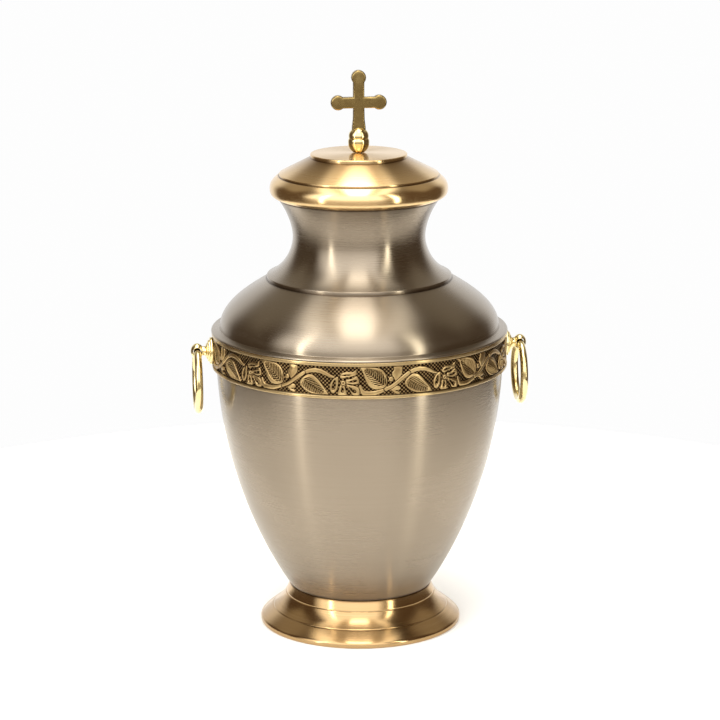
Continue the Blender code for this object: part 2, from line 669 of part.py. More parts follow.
def make_boss(name, facing):
    """Rosette, stem and knob; the rosette's back follows the band."""
    mesh = bmesh.new()
    revolve(mesh, boss_profile(), BOSS_SEGMENTS, closed=False)
    mesh.transform(Matrix.Rotation(math.pi / 2, 4, "Y"))
    mesh.transform(Matrix.Translation((0, 0, BOSS_CENTRE)))
    boss = new_object(name, mesh, POLISHED_BRASS)
    boolean(boss, eye_cutter(), "DIFFERENCE")
    back = [(0, BOSS_CENTRE - 2 * ROSETTE_RADIUS), (BOSS_SEAT_RADIUS, BOSS_CENTRE - 2 * ROSETTE_RADIUS)]
    back += [(BOSS_SEAT_RADIUS, BOSS_CENTRE + 2 * ROSETTE_RADIUS), (0, BOSS_CENTRE + 2 * ROSETTE_RADIUS)]
    boolean(boss, turned("back", back, POLISHED_BRASS, segments=2 * TURN_SEGMENTS), "DIFFERENCE")
    boss.data.transform(Matrix.Rotation(math.radians(facing), 4, "Z"))
    return boss


def make_ring(name, facing):
    """Drop ring hanging in the knob's eye; its origin is on the hinge axis."""
    mesh = bmesh.new()
    rings = []
    for step in range(RING_STEPS):
        turn = 2 * math.pi * step / RING_STEPS
        share = (1 - math.cos(turn)) / 2
        wire = RING_WIRE_TOP + (RING_WIRE_BOTTOM - RING_WIRE_TOP) * share
        outward = Vector((0, math.sin(turn), math.cos(turn)))
        ring = []
        for side in range(RING_SIDES):
            around = 2 * math.pi * (side + 0.5) / RING_SIDES
            place = (RING_RADIUS + wire * math.cos(around)) * outward
            place.x += wire * math.sin(around)
            place.z -= RING_RADIUS
            ring.append(mesh.verts.new(place))
        rings.append(ring)
    for ring, next_ring in zip(rings, rings[1:] + rings[:1]):
        for side in range(RING_SIDES):
            following = (side + 1) % RING_SIDES
            mesh.faces.new((ring[side], ring[following], next_ring[following], next_ring[side]))
    made = new_object(name, mesh, POLISHED_BRASS)
    turn = math.radians(facing)
    made.location = (KNOB_CENTRE * math.cos(turn), KNOB_CENTRE * math.sin(turn), BOSS_CENTRE)
    made.rotation_euler = (0, 0, turn)
    return made


def main():
    for old in list(bpy.data.objects):
        bpy.data.objects.remove(old)
    make_foot()
    make_vessel()
    make_band()
    make_lid()
    make_cross()
    for side, facing in (("right", 0), ("left", 180)):
        make_boss("handle_boss_" + side, facing)
        make_ring("ring_" + side, facing)


main()
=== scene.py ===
"""Looks of the cremation urn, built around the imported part. Metres, +Z up, foot's centre at the origin."""

import json
import math

import bmesh
import bpy
import numpy as np
from mathutils import Matrix, Quaternion, Vector


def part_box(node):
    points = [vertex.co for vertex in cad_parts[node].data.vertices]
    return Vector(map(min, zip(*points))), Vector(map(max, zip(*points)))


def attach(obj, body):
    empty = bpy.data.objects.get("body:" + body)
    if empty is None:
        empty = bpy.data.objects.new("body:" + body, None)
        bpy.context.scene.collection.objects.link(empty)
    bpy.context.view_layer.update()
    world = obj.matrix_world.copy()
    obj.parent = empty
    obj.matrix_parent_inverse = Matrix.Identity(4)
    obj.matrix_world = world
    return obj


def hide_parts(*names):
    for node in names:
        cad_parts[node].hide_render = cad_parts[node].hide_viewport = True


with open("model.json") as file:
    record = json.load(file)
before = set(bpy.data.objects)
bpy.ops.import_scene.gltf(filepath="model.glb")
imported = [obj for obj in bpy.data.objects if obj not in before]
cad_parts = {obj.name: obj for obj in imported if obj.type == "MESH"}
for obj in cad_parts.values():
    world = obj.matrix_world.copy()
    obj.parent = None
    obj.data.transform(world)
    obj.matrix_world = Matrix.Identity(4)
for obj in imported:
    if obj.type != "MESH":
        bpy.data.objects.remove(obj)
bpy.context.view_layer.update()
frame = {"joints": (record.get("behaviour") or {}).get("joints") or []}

# Camera, from the photograph's perspective: a long lens a little left of the front, looking down
CAMERA_DISTANCE = 1.6951
CAMERA_HEIGHT = 0.5794
CAMERA_AZIMUTH = -6.5
CAMERA_PITCH = 13.56
CAMERA_ROLL = -0.20
LENS = 137.5
FRAME_SHIFT = 0.00072

# Finish and fineness of the turned pieces
ROUND_STEPS = 288
AXIS_RADIUS = 0.0001
EDGE_SOFTNESS = 0.00035
SHARPEST_PLAIN_TURN = 18
CORNER_STEPS = 4
LINE_WIDTH = 0.00028
LINE_DEPTH = 0.00022
LINE_STEP = 0.00009
LINE_SPREAD = 0.003
GAP = 0.0003

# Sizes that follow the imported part
FOOT_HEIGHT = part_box("foot")[1].z
FOOT_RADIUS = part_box("foot")[1].x
VESSEL_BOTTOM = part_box("vessel")[0].z
MOUTH_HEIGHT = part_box("vessel")[1].z
LEDGE_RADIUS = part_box("vessel")[1].x
BAND_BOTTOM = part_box("ornament_band")[0].z
BAND_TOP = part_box("ornament_band")[1].z
LID_SPIGOT_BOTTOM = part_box("lid")[0].z
LID_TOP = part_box("lid")[1].z
LID_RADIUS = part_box("lid")[1].x
FINIAL_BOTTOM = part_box("cross_finial")[0].z
CROSS_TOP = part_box("cross_finial")[1].z
CROSS_SPAN = 2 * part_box("cross_finial")[1].x
KNOB_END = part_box("handle_boss_right")[1].x
BOSS_CENTRE = (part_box("handle_boss_right")[0].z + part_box("handle_boss_right")[1].z) / 2
ROSETTE_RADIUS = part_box("handle_boss_right")[1].z - BOSS_CENTRE
HINGE = next(joint for joint in frame["joints"] if joint["name"] == "right_ring_swing")["pos_m"]


def curve(start, start_angle, start_pull, end, end_angle, end_pull, steps):
    """Points of a cubic curve between two profile points; angles turn from outwards to upwards."""
    turns = [math.radians(angle) for angle in (start_angle, end_angle)]
    first, last = Vector(start), Vector(end)
    second = first + start_pull * Vector((math.cos(turns[0]), math.sin(turns[0])))
    third = last - end_pull * Vector((math.cos(turns[1]), math.sin(turns[1])))
    points = []
    for step in range(steps + 1):
        t = step / steps
        point = (1 - t) ** 3 * first + 3 * (1 - t) ** 2 * t * second
        point += 3 * (1 - t) * t ** 2 * third + t ** 3 * last
        points.append((point.x, point.y))
    return points


def softened(points, reach=EDGE_SOFTNESS):
    """A profile whose corners are rounded over a short reach."""
    result = [points[0]]
    for before, here, after in zip(points, points[1:], points[2:]):
        here_v = Vector(here)
        back = Vector(before) - here_v
        ahead = Vector(after) - here_v
        if back.length < 1e-7 or ahead.length < 1e-7:
            continue
        if math.degrees(math.pi - back.angle(ahead)) < SHARPEST_PLAIN_TURN:
            result.append(here)
            continue
        first = here_v + back.normalized() * min(reach, back.length * 0.45)
        last = here_v + ahead.normalized() * min(reach, ahead.length * 0.45)
        for step in range(CORNER_STEPS + 1):
            t = step / CORNER_STEPS
            point = (1 - t) ** 2 * first + 2 * (1 - t) * t * here_v + t ** 2 * last
            result.append((point.x, point.y))
    return result + [points[-1]]


def moved_in(points, wall):
    """A rising profile line moved by the wall's thickness towards the inside."""
    moved = []
    for index, (radius, height) in enumerate(points):
        before = points[max(index - 1, 0)]
        after = points[min(index + 1, len(points) - 1)]
        along = Vector((after[0] - before[0], after[1] - before[1])).normalized()
        moved.append((radius - wall * along.y, height + wall * along.x))
    return moved


def engraved(points, heights):
    """A rising profile line with fine lines cut into it at some heights."""
    cut = []
    for (radius, height), (next_radius, next_height) in zip(points, points[1:]):
        length = math.hypot(next_radius - radius, next_height - height)
        near = any(height - LINE_SPREAD < line < next_height + LINE_SPREAD for line in heights)
        pieces = max(1, math.ceil(length / LINE_STEP)) if near else 1
        for piece in range(pieces):
            share = piece / pieces
            r = radius + share * (next_radius - radius)
            z = height + share * (next_height - height)
            drop = sum(math.exp(-((z - line) / LINE_WIDTH) ** 2) for line in heights)
            cut.append((r - LINE_DEPTH * drop, z))
    return cut + [points[-1]]


def new_piece(name, verts, faces, finish, body, nodes, crease=40, attributes=None):
    """A smooth-shaded piece with its material, riding on a body and standing for CAD nodes."""
    mesh = bpy.data.meshes.new(name)
    mesh.from_pydata(verts, [], faces)
    for label, values in (attributes or {}).items():
        layer = mesh.attributes.new(label, "FLOAT", "POINT")
        layer.data.foreach_set("value", np.asarray(values, np.float32))
    mesh.shade_smooth()
    mesh.set_sharp_from_angle(angle=math.radians(crease))
    mesh.materials.append(finish)
    made = bpy.data.objects.new(name, mesh)
    bpy.context.scene.collection.objects.link(made)
    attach(made, body)
    for node in nodes:
        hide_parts(node)
    return made


def revolved(profile, segments, closed=False):
    """Vertices and faces of a profile of (radius, height) points turned about Z, facing outwards."""
    points = np.array(profile, float)
    turns = 2 * np.pi * np.arange(segments) / segments
    rows = len(points)
    verts = np.empty((rows, segments, 3))
    verts[:, :, 0] = points[:, 0:1] * np.cos(turns)
    verts[:, :, 1] = points[:, 0:1] * np.sin(turns)
    verts[:, :, 2] = points[:, 1:2]
    column = np.arange(segments)
    following = (column + 1) % segments
    faces = []
    last = rows if closed else rows - 1
    for row in range(last):
        low = row * segments
        high = (row + 1) % rows * segments
        quads = np.stack([low + column, low + following, high + following, high + column], 1)
        faces += quads.tolist()
    return verts.reshape(-1, 3), faces


def turned_piece(name, profile, finish, node, crevices, segments=ROUND_STEPS):
    """A closed piece of the urn, turned about the vertical axis, with painted shade and tarnish gathered
    around its crevices.
    """
    verts, faces = revolved(profile, segments, closed=True)
    radius = np.hypot(verts[:, 0], verts[:, 1])
    # Painted shade with some tarnish: a mask near crevices and joins between parts, where shade falls, that
    # later darkens the colour.
    crevice_shade_and_tarnish = np.zeros(len(verts))
    for (r, z), reach in crevices:
        away = np.hypot(radius - r, verts[:, 2] - z)
        crevice_shade_and_tarnish = np.maximum(crevice_shade_and_tarnish, np.exp(-(away / reach) ** 2))
    made = new_piece(name, verts.tolist(), faces, finish, "urn", [node], attributes={"crevice_shade_and_tarnish": crevice_shade_and_tarnish})
    mesh = bmesh.new()
    mesh.from_mesh(made.data)
    bmesh.ops.remove_doubles(mesh, verts=mesh.verts, dist=1e-7)
    bmesh.ops.recalc_face_normals(mesh, faces=mesh.faces)
    mesh.to_mesh(made.data)
    mesh.free()


# Materials

FINE_LINES = 0.00022
BROAD_LINES = 0.0011
LINE_RELIEF = 0.6
SKIN_RELIEF = 0.5
QUARTER_TURN = 0.25


class Nodes:
    """Small helper for building a material's node tree."""

    def __init__(self, tree):
        self.tree = tree

    def add(self, kind, **settings):
        node = self.tree.nodes.new(kind)
        for name, value in settings.items():
            setattr(node, name, value)
        return node

    def link(self, source, target):
        self.tree.links.new(source, target)

    def feed(self, socket, value):
        if isinstance(value, bpy.types.NodeSocket):
            self.link(value, socket)
        else:
            socket.default_value = value

    def math(self, operation, *values, clamp=False):
        node = self.add("ShaderNodeMath", operation=operation, use_clamp=clamp)
        for socket, value in zip(node.inputs, values):
            self.feed(socket, value)
        return node.outputs[0]

    def ranged(self, value, low, high, to_low=0.0, to_high=1.0):
        node = self.add("ShaderNodeMapRange", interpolation_type="SMOOTHSTEP")
        for label, item in (("Value", value), ("From Min", low), ("From Max", high),
                            ("To Min", to_low), ("To Max", to_high)):
            self.feed(node.inputs[label], item)
        return node.outputs["Result"]

    def mix(self, share, first, second, blend="MIX"):
        node = self.add("ShaderNodeMix", data_type="RGBA", blend_type=blend)
        self.feed(node.inputs["Factor"], share)
        for index, value in ((6, first), (7, second)):
            if not isinstance(value, bpy.types.NodeSocket) and len(value) == 3:
                value = (*value, 1.0)
            self.feed(node.inputs[index], value)
        return node.outputs[2]

    def noise(self, vector, scale, detail=2.0, roughness=0.5, w=None):
        node = self.add("ShaderNodeTexNoise", noise_dimensions="4D" if w is not None else "3D")
        self.feed(node.inputs["Vector"], vector)
        node.inputs["Scale"].default_value = scale
        node.inputs["Detail"].default_value = detail
        node.inputs["Roughness"].default_value = roughness
        if w is not None:
            self.feed(node.inputs["W"], w)
        return node.outputs["Fac"]

    def bump(self, height, strength, distance, shader):
        node = self.add("ShaderNodeBump")
        node.inputs["Strength"].default_value = strength
        node.inputs["Distance"].default_value = distance
        self.link(height, node.inputs["Height"])
        self.link(node.outputs[0], shader.inputs["Normal"])

    def combine(self, x, y, z):
        node = self.add("ShaderNodeCombineXYZ")
        for socket, value in zip(node.inputs, (x, y, z)):
            self.feed(socket, value)
        return node.outputs[0]


def new_material(name):
    """A fresh metal: its node helper, its shader and its place coordinates."""
    made = bpy.data.materials.new(name)
    made.use_nodes = True
    nodes = Nodes(made.node_tree)
    shader = made.node_tree.nodes["Principled BSDF"]
    shader.inputs["Metallic"].default_value = 1.0
    place = nodes.add("ShaderNodeTexCoord").outputs["Object"]
    parts = nodes.add("ShaderNodeSeparateXYZ")
    nodes.link(place, parts.inputs[0])
    x, y, z = parts.outputs
    radius = nodes.math("SQRT", nodes.math("ADD", nodes.math("MULTIPLY", x, x), nodes.math("MULTIPLY", y, y)))
    return made, nodes, shader, place, (x, y, z, radius)


def turning_lines(nodes, parts, pitch, detail, around=9.0):
    """Fine lines that run round the axis, as left by a turning tool and a brush."""
    x, y, z, radius = parts
    vector = nodes.combine(nodes.math("MULTIPLY", radius, 1 / pitch), nodes.math("MULTIPLY", z, 1 / pitch),
                           nodes.math("MULTIPLY", x, around))
    return nodes.noise(vector, 1.0, detail, 0.6, w=nodes.math("MULTIPLY", y, around))


def brushed_metal(name, light, dark, shade_and_tarnish_colour, roughness, anisotropy, line_depth):
    """Turned and brushed metal: lines round the axis, faint clouding, and painted shade with some tarnish
    darkening its crevices.
    """
    made, nodes, shader, place, parts = new_material(name)
    fine = turning_lines(nodes, parts, FINE_LINES, 3.0)
    broad = turning_lines(nodes, parts, BROAD_LINES, 2.0, around=3.0)
    clouds = nodes.noise(place, 16.0, 3.0)
    lines = nodes.math("ADD", nodes.math("MULTIPLY", fine, 0.92), nodes.math("MULTIPLY", broad, 0.08))
    shade = nodes.mix(nodes.ranged(lines, 0.30, 0.70), dark, light)
    shade = nodes.mix(nodes.ranged(clouds, 0.35, 0.72, 0.0, 0.35), shade, dark)
    # Painted shade with some tarnish: the crevice mask darkens the colour towards a dark brown and roughens
    # it a little.
    crevice_shade_and_tarnish = nodes.add("ShaderNodeAttribute", attribute_name="crevice_shade_and_tarnish").outputs["Fac"]
    crevice_shade_and_tarnish = nodes.math("MULTIPLY", crevice_shade_and_tarnish, nodes.ranged(clouds, 0.25, 0.6, 0.55, 1.0))
    nodes.link(nodes.mix(crevice_shade_and_tarnish, shade, shade_and_tarnish_colour), shader.inputs["Base Color"])
    rough = nodes.math("ADD", nodes.ranged(lines, 0.3, 0.7, roughness - 0.02, roughness + 0.02),
                       nodes.ranged(clouds, 0.3, 0.7, -0.02, 0.03))
    nodes.link(nodes.math("ADD", rough, nodes.math("MULTIPLY", crevice_shade_and_tarnish, 0.15)), shader.inputs["Roughness"])
    shader.inputs["Anisotropic"].default_value = anisotropy
    shader.inputs["Anisotropic Rotation"].default_value = QUARTER_TURN
    tangent = nodes.add("ShaderNodeTangent", direction_type="RADIAL", axis="Z")
    nodes.link(tangent.outputs[0], shader.inputs["Tangent"])
    nodes.bump(lines, LINE_RELIEF, line_depth, shader)
    return made


def cast_metal(name, light, dark, roughness, grain, grain_depth):
    """Cast brass: a faintly uneven skin, small pits and a polish that varies from place to place."""
    made, nodes, shader, place, _ = new_material(name)
    clouds = nodes.noise(place, 90.0, 3.0)
    skin = nodes.noise(place, grain, 4.0, 0.65)
    pits = nodes.ranged(nodes.noise(place, grain * 2.3, 2.0), 0.22, 0.36)
    shade = nodes.mix(nodes.ranged(clouds, 0.35, 0.65), dark, light)
    shade = nodes.mix(nodes.math("SUBTRACT", 1.0, pits), shade, tuple(0.75 * c for c in dark))
    nodes.link(shade, shader.inputs["Base Color"])
    nodes.link(nodes.ranged(skin, 0.3, 0.7, roughness - 0.05, roughness + 0.07), shader.inputs["Roughness"])
    nodes.bump(nodes.math("ADD", skin, nodes.math("MULTIPLY", pits, 0.4)), SKIN_RELIEF, grain_depth, shader)
    return made


# The fourth colour of each brushed metal is the painted shade, with some tarnish, laid into its crevices and
# joins.
PEWTER = brushed_metal("brushed_pewter", (0.315, 0.262, 0.200), (0.292, 0.240, 0.179), (0.10, 0.07, 0.045),
                       0.28, 0.94, 0.000002)
BRASS = brushed_metal("brushed_brass", (0.76, 0.545, 0.285), (0.69, 0.48, 0.235), (0.12, 0.06, 0.02),
                      0.21, 0.88, 0.000004)
FOOT_BRASS = brushed_metal("foot_brass", (0.50, 0.335, 0.165), (0.44, 0.285, 0.13), (0.12, 0.06, 0.02),
                           0.16, 0.82, 0.000004)
RIM_BRASS = brushed_metal("rim_brass", (0.60, 0.450, 0.235), (0.51, 0.370, 0.18), (0.05, 0.025, 0.01),
                          0.26, 0.85, 0.000006)
POLISHED = cast_metal("polished_brass", (0.80, 0.67, 0.36), (0.72, 0.59, 0.29), 0.12, 420.0, 0.00002)
# The cross's base colour is darkened as painted shade, standing in for the dark front that its flat face
# reflects.
SHADED_CROSS_BRASS = cast_metal("cast_brass_painted_shade", (0.30, 0.215, 0.085), (0.27, 0.190, 0.072), 0.24, 300.0, 0.000006)


# Foot

FOOT_TOP_RADIUS = 0.0453
FOOT_WALL = 0.0024
FOOT_DECK = 0.0030
FOOT_SIDE_TOP = 0.0022
FOOT_LIP_INSET = 0.0018
FOOT_LIP_HEIGHT = 0.0045
FOOT_LINES = (0.0188, 0.0094)
FOOT_LINE_RADII = (0.0499, FOOT_RADIUS - 0.0090)


def foot_profile():
    """Bell foot, from the rim it stands on up to the deck, and back down inside."""
    lip = (FOOT_RADIUS - FOOT_LIP_INSET, FOOT_LIP_HEIGHT)
    rounding = curve((FOOT_RADIUS, FOOT_SIDE_TOP), 90, 0.0009, lip, 140, 0.0009, 6)
    bell = curve(lip, 140, 0.0108, (FOOT_TOP_RADIUS, FOOT_HEIGHT), 109, 0.0128, 30)
    bell = engraved(bell, FOOT_LINES)
    hollow = moved_in(bell[::4], FOOT_WALL)
    hollow = [point for point in hollow if FOOT_SIDE_TOP < point[1] < FOOT_HEIGHT - FOOT_DECK]
    rim_inside = FOOT_RADIUS - 2 * FOOT_WALL
    outside = [(rim_inside, 0), (FOOT_RADIUS - 0.0004, 0), (FOOT_RADIUS, 0.0005)] + rounding + bell[1:]
    outside += [(0.020, FOOT_HEIGHT), (AXIS_RADIUS, FOOT_HEIGHT)]
    deck = FOOT_HEIGHT - FOOT_DECK
    inside = [(AXIS_RADIUS, deck), (hollow[-1][0], deck)] + hollow[::-1] + [(rim_inside, 0.0015)]
    return softened(outside) + inside


foot_crevices = [(line, 0.0004) for line in zip(FOOT_LINE_RADII, FOOT_LINES)]
foot_crevices.append(((FOOT_TOP_RADIUS, FOOT_HEIGHT), 0.0007))
turned_piece("foot_bell", foot_profile(), FOOT_BRASS, "foot", foot_crevices)


# Vessel

WALL = 0.0022
VESSEL_FLOOR = VESSEL_BOTTOM + 0.003
BOWL_TOP_RADIUS = 0.0905
BOWL_HEIGHT = 0.1430
SEAT_RADIUS = 0.0887
LEDGE_BOTTOM = BAND_TOP + GAP
LEDGE_EDGE = 0.0011
SHOULDER_RADIUS = 0.0883
SHOULDER_BOTTOM = LEDGE_BOTTOM + 0.0017
COLLAR_RADIUS = 0.0581
COLLAR_SHELF = 0.0009
COLLAR_BOTTOM = SHOULDER_BOTTOM + 0.0312
NECK_BOTTOM = COLLAR_BOTTOM + 0.0024
NECK_RADIUS = 0.0416
NECK_WAIST = NECK_BOTTOM + 0.0243
NECK_RIM_RADIUS = 0.0510
MOUTH_DEPTH = 0.0090


def neck_line():
    """The neck's outer line, from the collar to the rim."""
    low = curve((COLLAR_RADIUS, NECK_BOTTOM), 157, 0.0125, (NECK_RADIUS, NECK_WAIST), 90, 0.0078, 24)
    high = curve((NECK_RADIUS, NECK_WAIST), 90, 0.0078, (NECK_RIM_RADIUS, MOUTH_HEIGHT), 50, 0.0078, 24)
    return low + high[1:]


def radius_at(points, height):
    """Radius of a rising profile line at one height."""
    for (radius, low), (next_radius, high) in zip(points, points[1:]):
        if low <= height <= high:
            return radius + (next_radius - radius) * (height - low) / (high - low)
    return points[-1][0]


def vessel_profile():
    """The hollow body's outside, over the neck's rim and down its inside."""
    bowl = curve((FOOT_TOP_RADIUS, VESSEL_BOTTOM), 56, 0.0490,
                 (BOWL_TOP_RADIUS, VESSEL_BOTTOM + BOWL_HEIGHT), 88, 0.0490, 60)
    shoulder = curve((SHOULDER_RADIUS, SHOULDER_BOTTOM), 91, 0.0130,
                     (COLLAR_RADIUS + COLLAR_SHELF, COLLAR_BOTTOM), 149, 0.0190, 40)
    neck = neck_line()
    ledge = [(LEDGE_RADIUS, LEDGE_BOTTOM), (LEDGE_RADIUS, LEDGE_BOTTOM + 0.0004),
             (LEDGE_RADIUS - 0.0005, LEDGE_BOTTOM + LEDGE_EDGE)]
    outside = [(AXIS_RADIUS, VESSEL_BOTTOM), (0.02, VESSEL_BOTTOM)] + bowl
    outside += [(SEAT_RADIUS, bowl[-1][1]), (SEAT_RADIUS, LEDGE_BOTTOM)] + ledge + shoulder
    outside += [(COLLAR_RADIUS, COLLAR_BOTTOM)] + neck
    mouth_floor = MOUTH_HEIGHT - MOUTH_DEPTH
    mouth = radius_at(neck, mouth_floor) - WALL
    inner_neck = [point for point in moved_in(neck, WALL)[2::3] if point[1] < mouth_floor - 0.001]
    inner_shoulder = moved_in(shoulder, WALL)[4:-4:3]
    inner_bowl = [point for point in moved_in(bowl, WALL)[::4] if point[1] > VESSEL_FLOOR]
    inside = [(mouth, MOUTH_HEIGHT), (mouth, mouth_floor)] + inner_neck[::-1] + inner_shoulder[::-1]
    inside += [(SEAT_RADIUS - WALL, SHOULDER_BOTTOM), (SEAT_RADIUS - WALL, BAND_BOTTOM)]
    inside += inner_bowl[::-1] + [(AXIS_RADIUS, VESSEL_FLOOR)]
    return softened(outside + inside)


vessel_crevices = [((COLLAR_RADIUS, COLLAR_BOTTOM), 0.0008), ((FOOT_TOP_RADIUS, VESSEL_BOTTOM), 0.0007),
                   ((NECK_RIM_RADIUS, MOUTH_HEIGHT), 0.0008)]
turned_piece("vessel_body", vessel_profile(), PEWTER, "vessel", vessel_crevices)


# Lid

LID_BOTTOM = MOUTH_HEIGHT + GAP
LID_SEAT_RADIUS = 0.0514
LID_BEAD_MIDDLE = LID_BOTTOM + 0.0054
LID_BEAD_TOP = LID_BOTTOM + 0.0135
LID_BEAD_TOP_RADIUS = 0.0509
LID_CONE_RADIUS = 0.0499
LID_CONE_BOTTOM = LID_BEAD_TOP + 0.0014
LID_CONE_TOP = LID_CONE_BOTTOM + 0.0100
LID_DISC_RADIUS = 0.0303
LID_DISC_EDGE = LID_CONE_TOP + 0.0025
LID_WALL = 0.0022
SPIGOT_CLEARANCE = 0.0004
LID_CROWN_RADIUS = 0.016
LID_CROWN_RISE = 0.00033


def lid_profile():
    """Lid from its spigot over the bead, cone and top disc, and back down inside."""
    spigot = radius_at(neck_line(), MOUTH_HEIGHT - MOUTH_DEPTH) - WALL - SPIGOT_CLEARANCE
    bead = curve((LID_SEAT_RADIUS, LID_BOTTOM), 20, 0.0032, (LID_RADIUS, LID_BEAD_MIDDLE), 90, 0.0032, 16)
    bead += curve((LID_RADIUS, LID_BEAD_MIDDLE), 90, 0.0040,
                  (LID_BEAD_TOP_RADIUS, LID_BEAD_TOP), 142, 0.0040, 16)[1:]
    cone = [(LID_CONE_RADIUS, LID_CONE_BOTTOM), (LID_DISC_RADIUS, LID_CONE_TOP)]
    inside_cone = moved_in(cone, LID_WALL)
    inside_bead = moved_in(bead, LID_WALL)[8:26:3]
    outside = [(spigot, LID_SPIGOT_BOTTOM), (spigot, LID_BOTTOM)] + bead
    outside += [(LID_CONE_RADIUS, LID_BEAD_TOP)] + cone
    outside += [(LID_DISC_RADIUS, LID_DISC_EDGE - 0.0004), (LID_DISC_RADIUS - 0.0005, LID_DISC_EDGE)]
    outside += [(LID_CROWN_RADIUS, LID_DISC_EDGE + LID_CROWN_RISE), (AXIS_RADIUS, LID_TOP)]
    inside = [(AXIS_RADIUS, LID_CONE_TOP)] + inside_cone[::-1] + inside_bead[::-1]
    inside += [(spigot - LID_WALL, LID_BOTTOM + LID_WALL), (spigot - LID_WALL, LID_SPIGOT_BOTTOM)]
    return softened(outside) + inside


lid_crevices = [((LID_CONE_RADIUS, LID_BEAD_TOP), 0.0007), ((LID_DISC_RADIUS, LID_CONE_TOP), 0.0006),
                ((LID_SEAT_RADIUS, LID_BOTTOM), 0.0012)]
turned_piece("lid_cover", lid_profile(), BRASS, "lid", lid_crevices)


# Ornament band

REPEATS = 9
FIRST_FLOWER_ANGLE = -102.6
FLOWER_SHARE = 0.141
RIM_RADIUS = LEDGE_RADIUS - 0.0002
LOW_RIM = 0.0020
HIGH_RIM = 0.0024
GROUND_RADIUS = RIM_RADIUS - 0.0014
FIELD_BOTTOM = BAND_BOTTOM + LOW_RIM
FIELD_TOP = BAND_TOP - HIGH_RIM
FIELD_HEIGHT = FIELD_TOP - FIELD_BOTTOM
PITCH = 2 * math.pi * GROUND_RADIUS / REPEATS
RELIEF = 0.0009
CROWN = 0.00025
SLOPE = 0.00030
CLEAR_LINE = 0.00036
TILE_COLUMNS = 252
TILE_ROWS = 68
PANELS = 3
CHECKER_PITCH = 0.00240
CHECKER_DEPTH = 0.00012
BAND_STEPS = 360
CARVING_LIFT = 0.00002
EDGE_DROP = 0.0002
RIM_LINE = (0.00010, 0.00040)
CROWN_WIDTH = 0.0020
LEAF_STROKES = 12
STROKE_SLANT = 0.9
STROKE_EDGES = (0.40, 0.20)
STROKE_START = (0.00006, 0.0002)
STROKE_FADE = 0.14
MIDRIB_EDGES = (0.00030, 0.00012)
SLOT_EDGES = (-0.00022, 0.00008)

# Outlines of the scroll, as shares of the repeat's length and of the field's height
BIG_LEAF = ((0.300, 0.985), (0.318, 0.860), (0.338, 0.660), (0.358, 0.470), (0.393, 0.290), (0.440, 0.215),
            (0.490, 0.230), (0.535, 0.300), (0.552, 0.430), (0.550, 0.610), (0.532, 0.790), (0.497, 0.915),
            (0.445, 0.972), (0.380, 0.985))
LOW_LEAF = ((0.727, 0.480), (0.722, 0.370), (0.740, 0.245), (0.780, 0.125), (0.832, 0.045), (0.900, 0.020),
            (0.965, 0.030), (1.004, 0.035), (0.980, 0.170), (0.945, 0.350), (0.903, 0.540), (0.857, 0.670),
            (0.810, 0.700), (0.768, 0.630))
TOP_LEAFLET = ((0.618, 0.975), (0.690, 0.975), (0.702, 0.850), (0.690, 0.690), (0.660, 0.560), (0.634, 0.440),
               (0.618, 0.570), (0.598, 0.690), (0.598, 0.790), (0.616, 0.870))
LOW_LEAFLET = ((0.555, 0.270), (0.590, 0.310), (0.632, 0.330), (0.672, 0.300), (0.680, 0.190), (0.650, 0.165),
               (0.632, 0.150), (0.662, 0.120), (0.680, 0.050), (0.655, 0.025), (0.625, 0.060), (0.600, 0.140))
UPPER_PETAL = ((0.108, 0.650), (0.128, 0.775), (0.170, 0.825), (0.225, 0.825), (0.262, 0.905), (0.264, 0.745),
               (0.225, 0.670), (0.170, 0.635), (0.130, 0.590))
RIGHT_PETAL = ((0.170, 0.560), (0.220, 0.600), (0.266, 0.690), (0.290, 0.560), (0.286, 0.440), (0.245, 0.395),
               (0.195, 0.415), (0.165, 0.455))
LOW_RIGHT_PETAL = ((0.168, 0.405), (0.215, 0.375), (0.262, 0.340), (0.290, 0.250), (0.296, 0.130),
                   (0.284, 0.025), (0.228, 0.030), (0.206, 0.170), (0.180, 0.300))
LOW_PETAL = ((0.108, 0.350), (0.098, 0.210), (0.090, 0.030), (0.172, 0.030), (0.166, 0.200), (0.154, 0.340),
             (0.130, 0.375))
LEFT_PETAL = ((0.094, 0.650), (0.097, 0.480), (0.088, 0.270), (0.064, 0.110), (0.028, 0.105), (0.012, 0.270),
              (0.020, 0.430), (0.050, 0.590))
SLOTS = (
    ((0.124, 0.690), (0.165, 0.735), (0.215, 0.725), (0.170, 0.688)),
    ((0.185, 0.485), (0.225, 0.530), (0.262, 0.560), (0.264, 0.500), (0.225, 0.470)),
    ((0.194, 0.320), (0.228, 0.255), (0.262, 0.185), (0.254, 0.105), (0.226, 0.150), (0.205, 0.240)),
    ((0.128, 0.310), (0.120, 0.140), (0.146, 0.140), (0.140, 0.300)),
    ((0.066, 0.545), (0.071, 0.380), (0.058, 0.230), (0.038, 0.210), (0.036, 0.340), (0.048, 0.470)),
)
# The stem's middle line with its half width, the last as a share of the field's height
STEM = ((0.300, 0.340, 0.052), (0.307, 0.200, 0.072), (0.336, 0.095, 0.087), (0.385, 0.078, 0.090),
        (0.435, 0.095, 0.082), (0.485, 0.150, 0.074), (0.540, 0.220, 0.067), (0.590, 0.290, 0.067),
        (0.630, 0.385, 0.067), (0.672, 0.500, 0.070), (0.715, 0.620, 0.070), (0.760, 0.730, 0.070),
        (0.815, 0.815, 0.074), (0.872, 0.850, 0.080), (0.925, 0.825, 0.080), (0.975, 0.755, 0.072),
        (1.020, 0.670, 0.057), (1.052, 0.640, 0.042))
BERRY = (0.590, 0.555, 0.088)
EYE = (0.141, 0.445, 0.085)
EYE_HOLE = 0.36


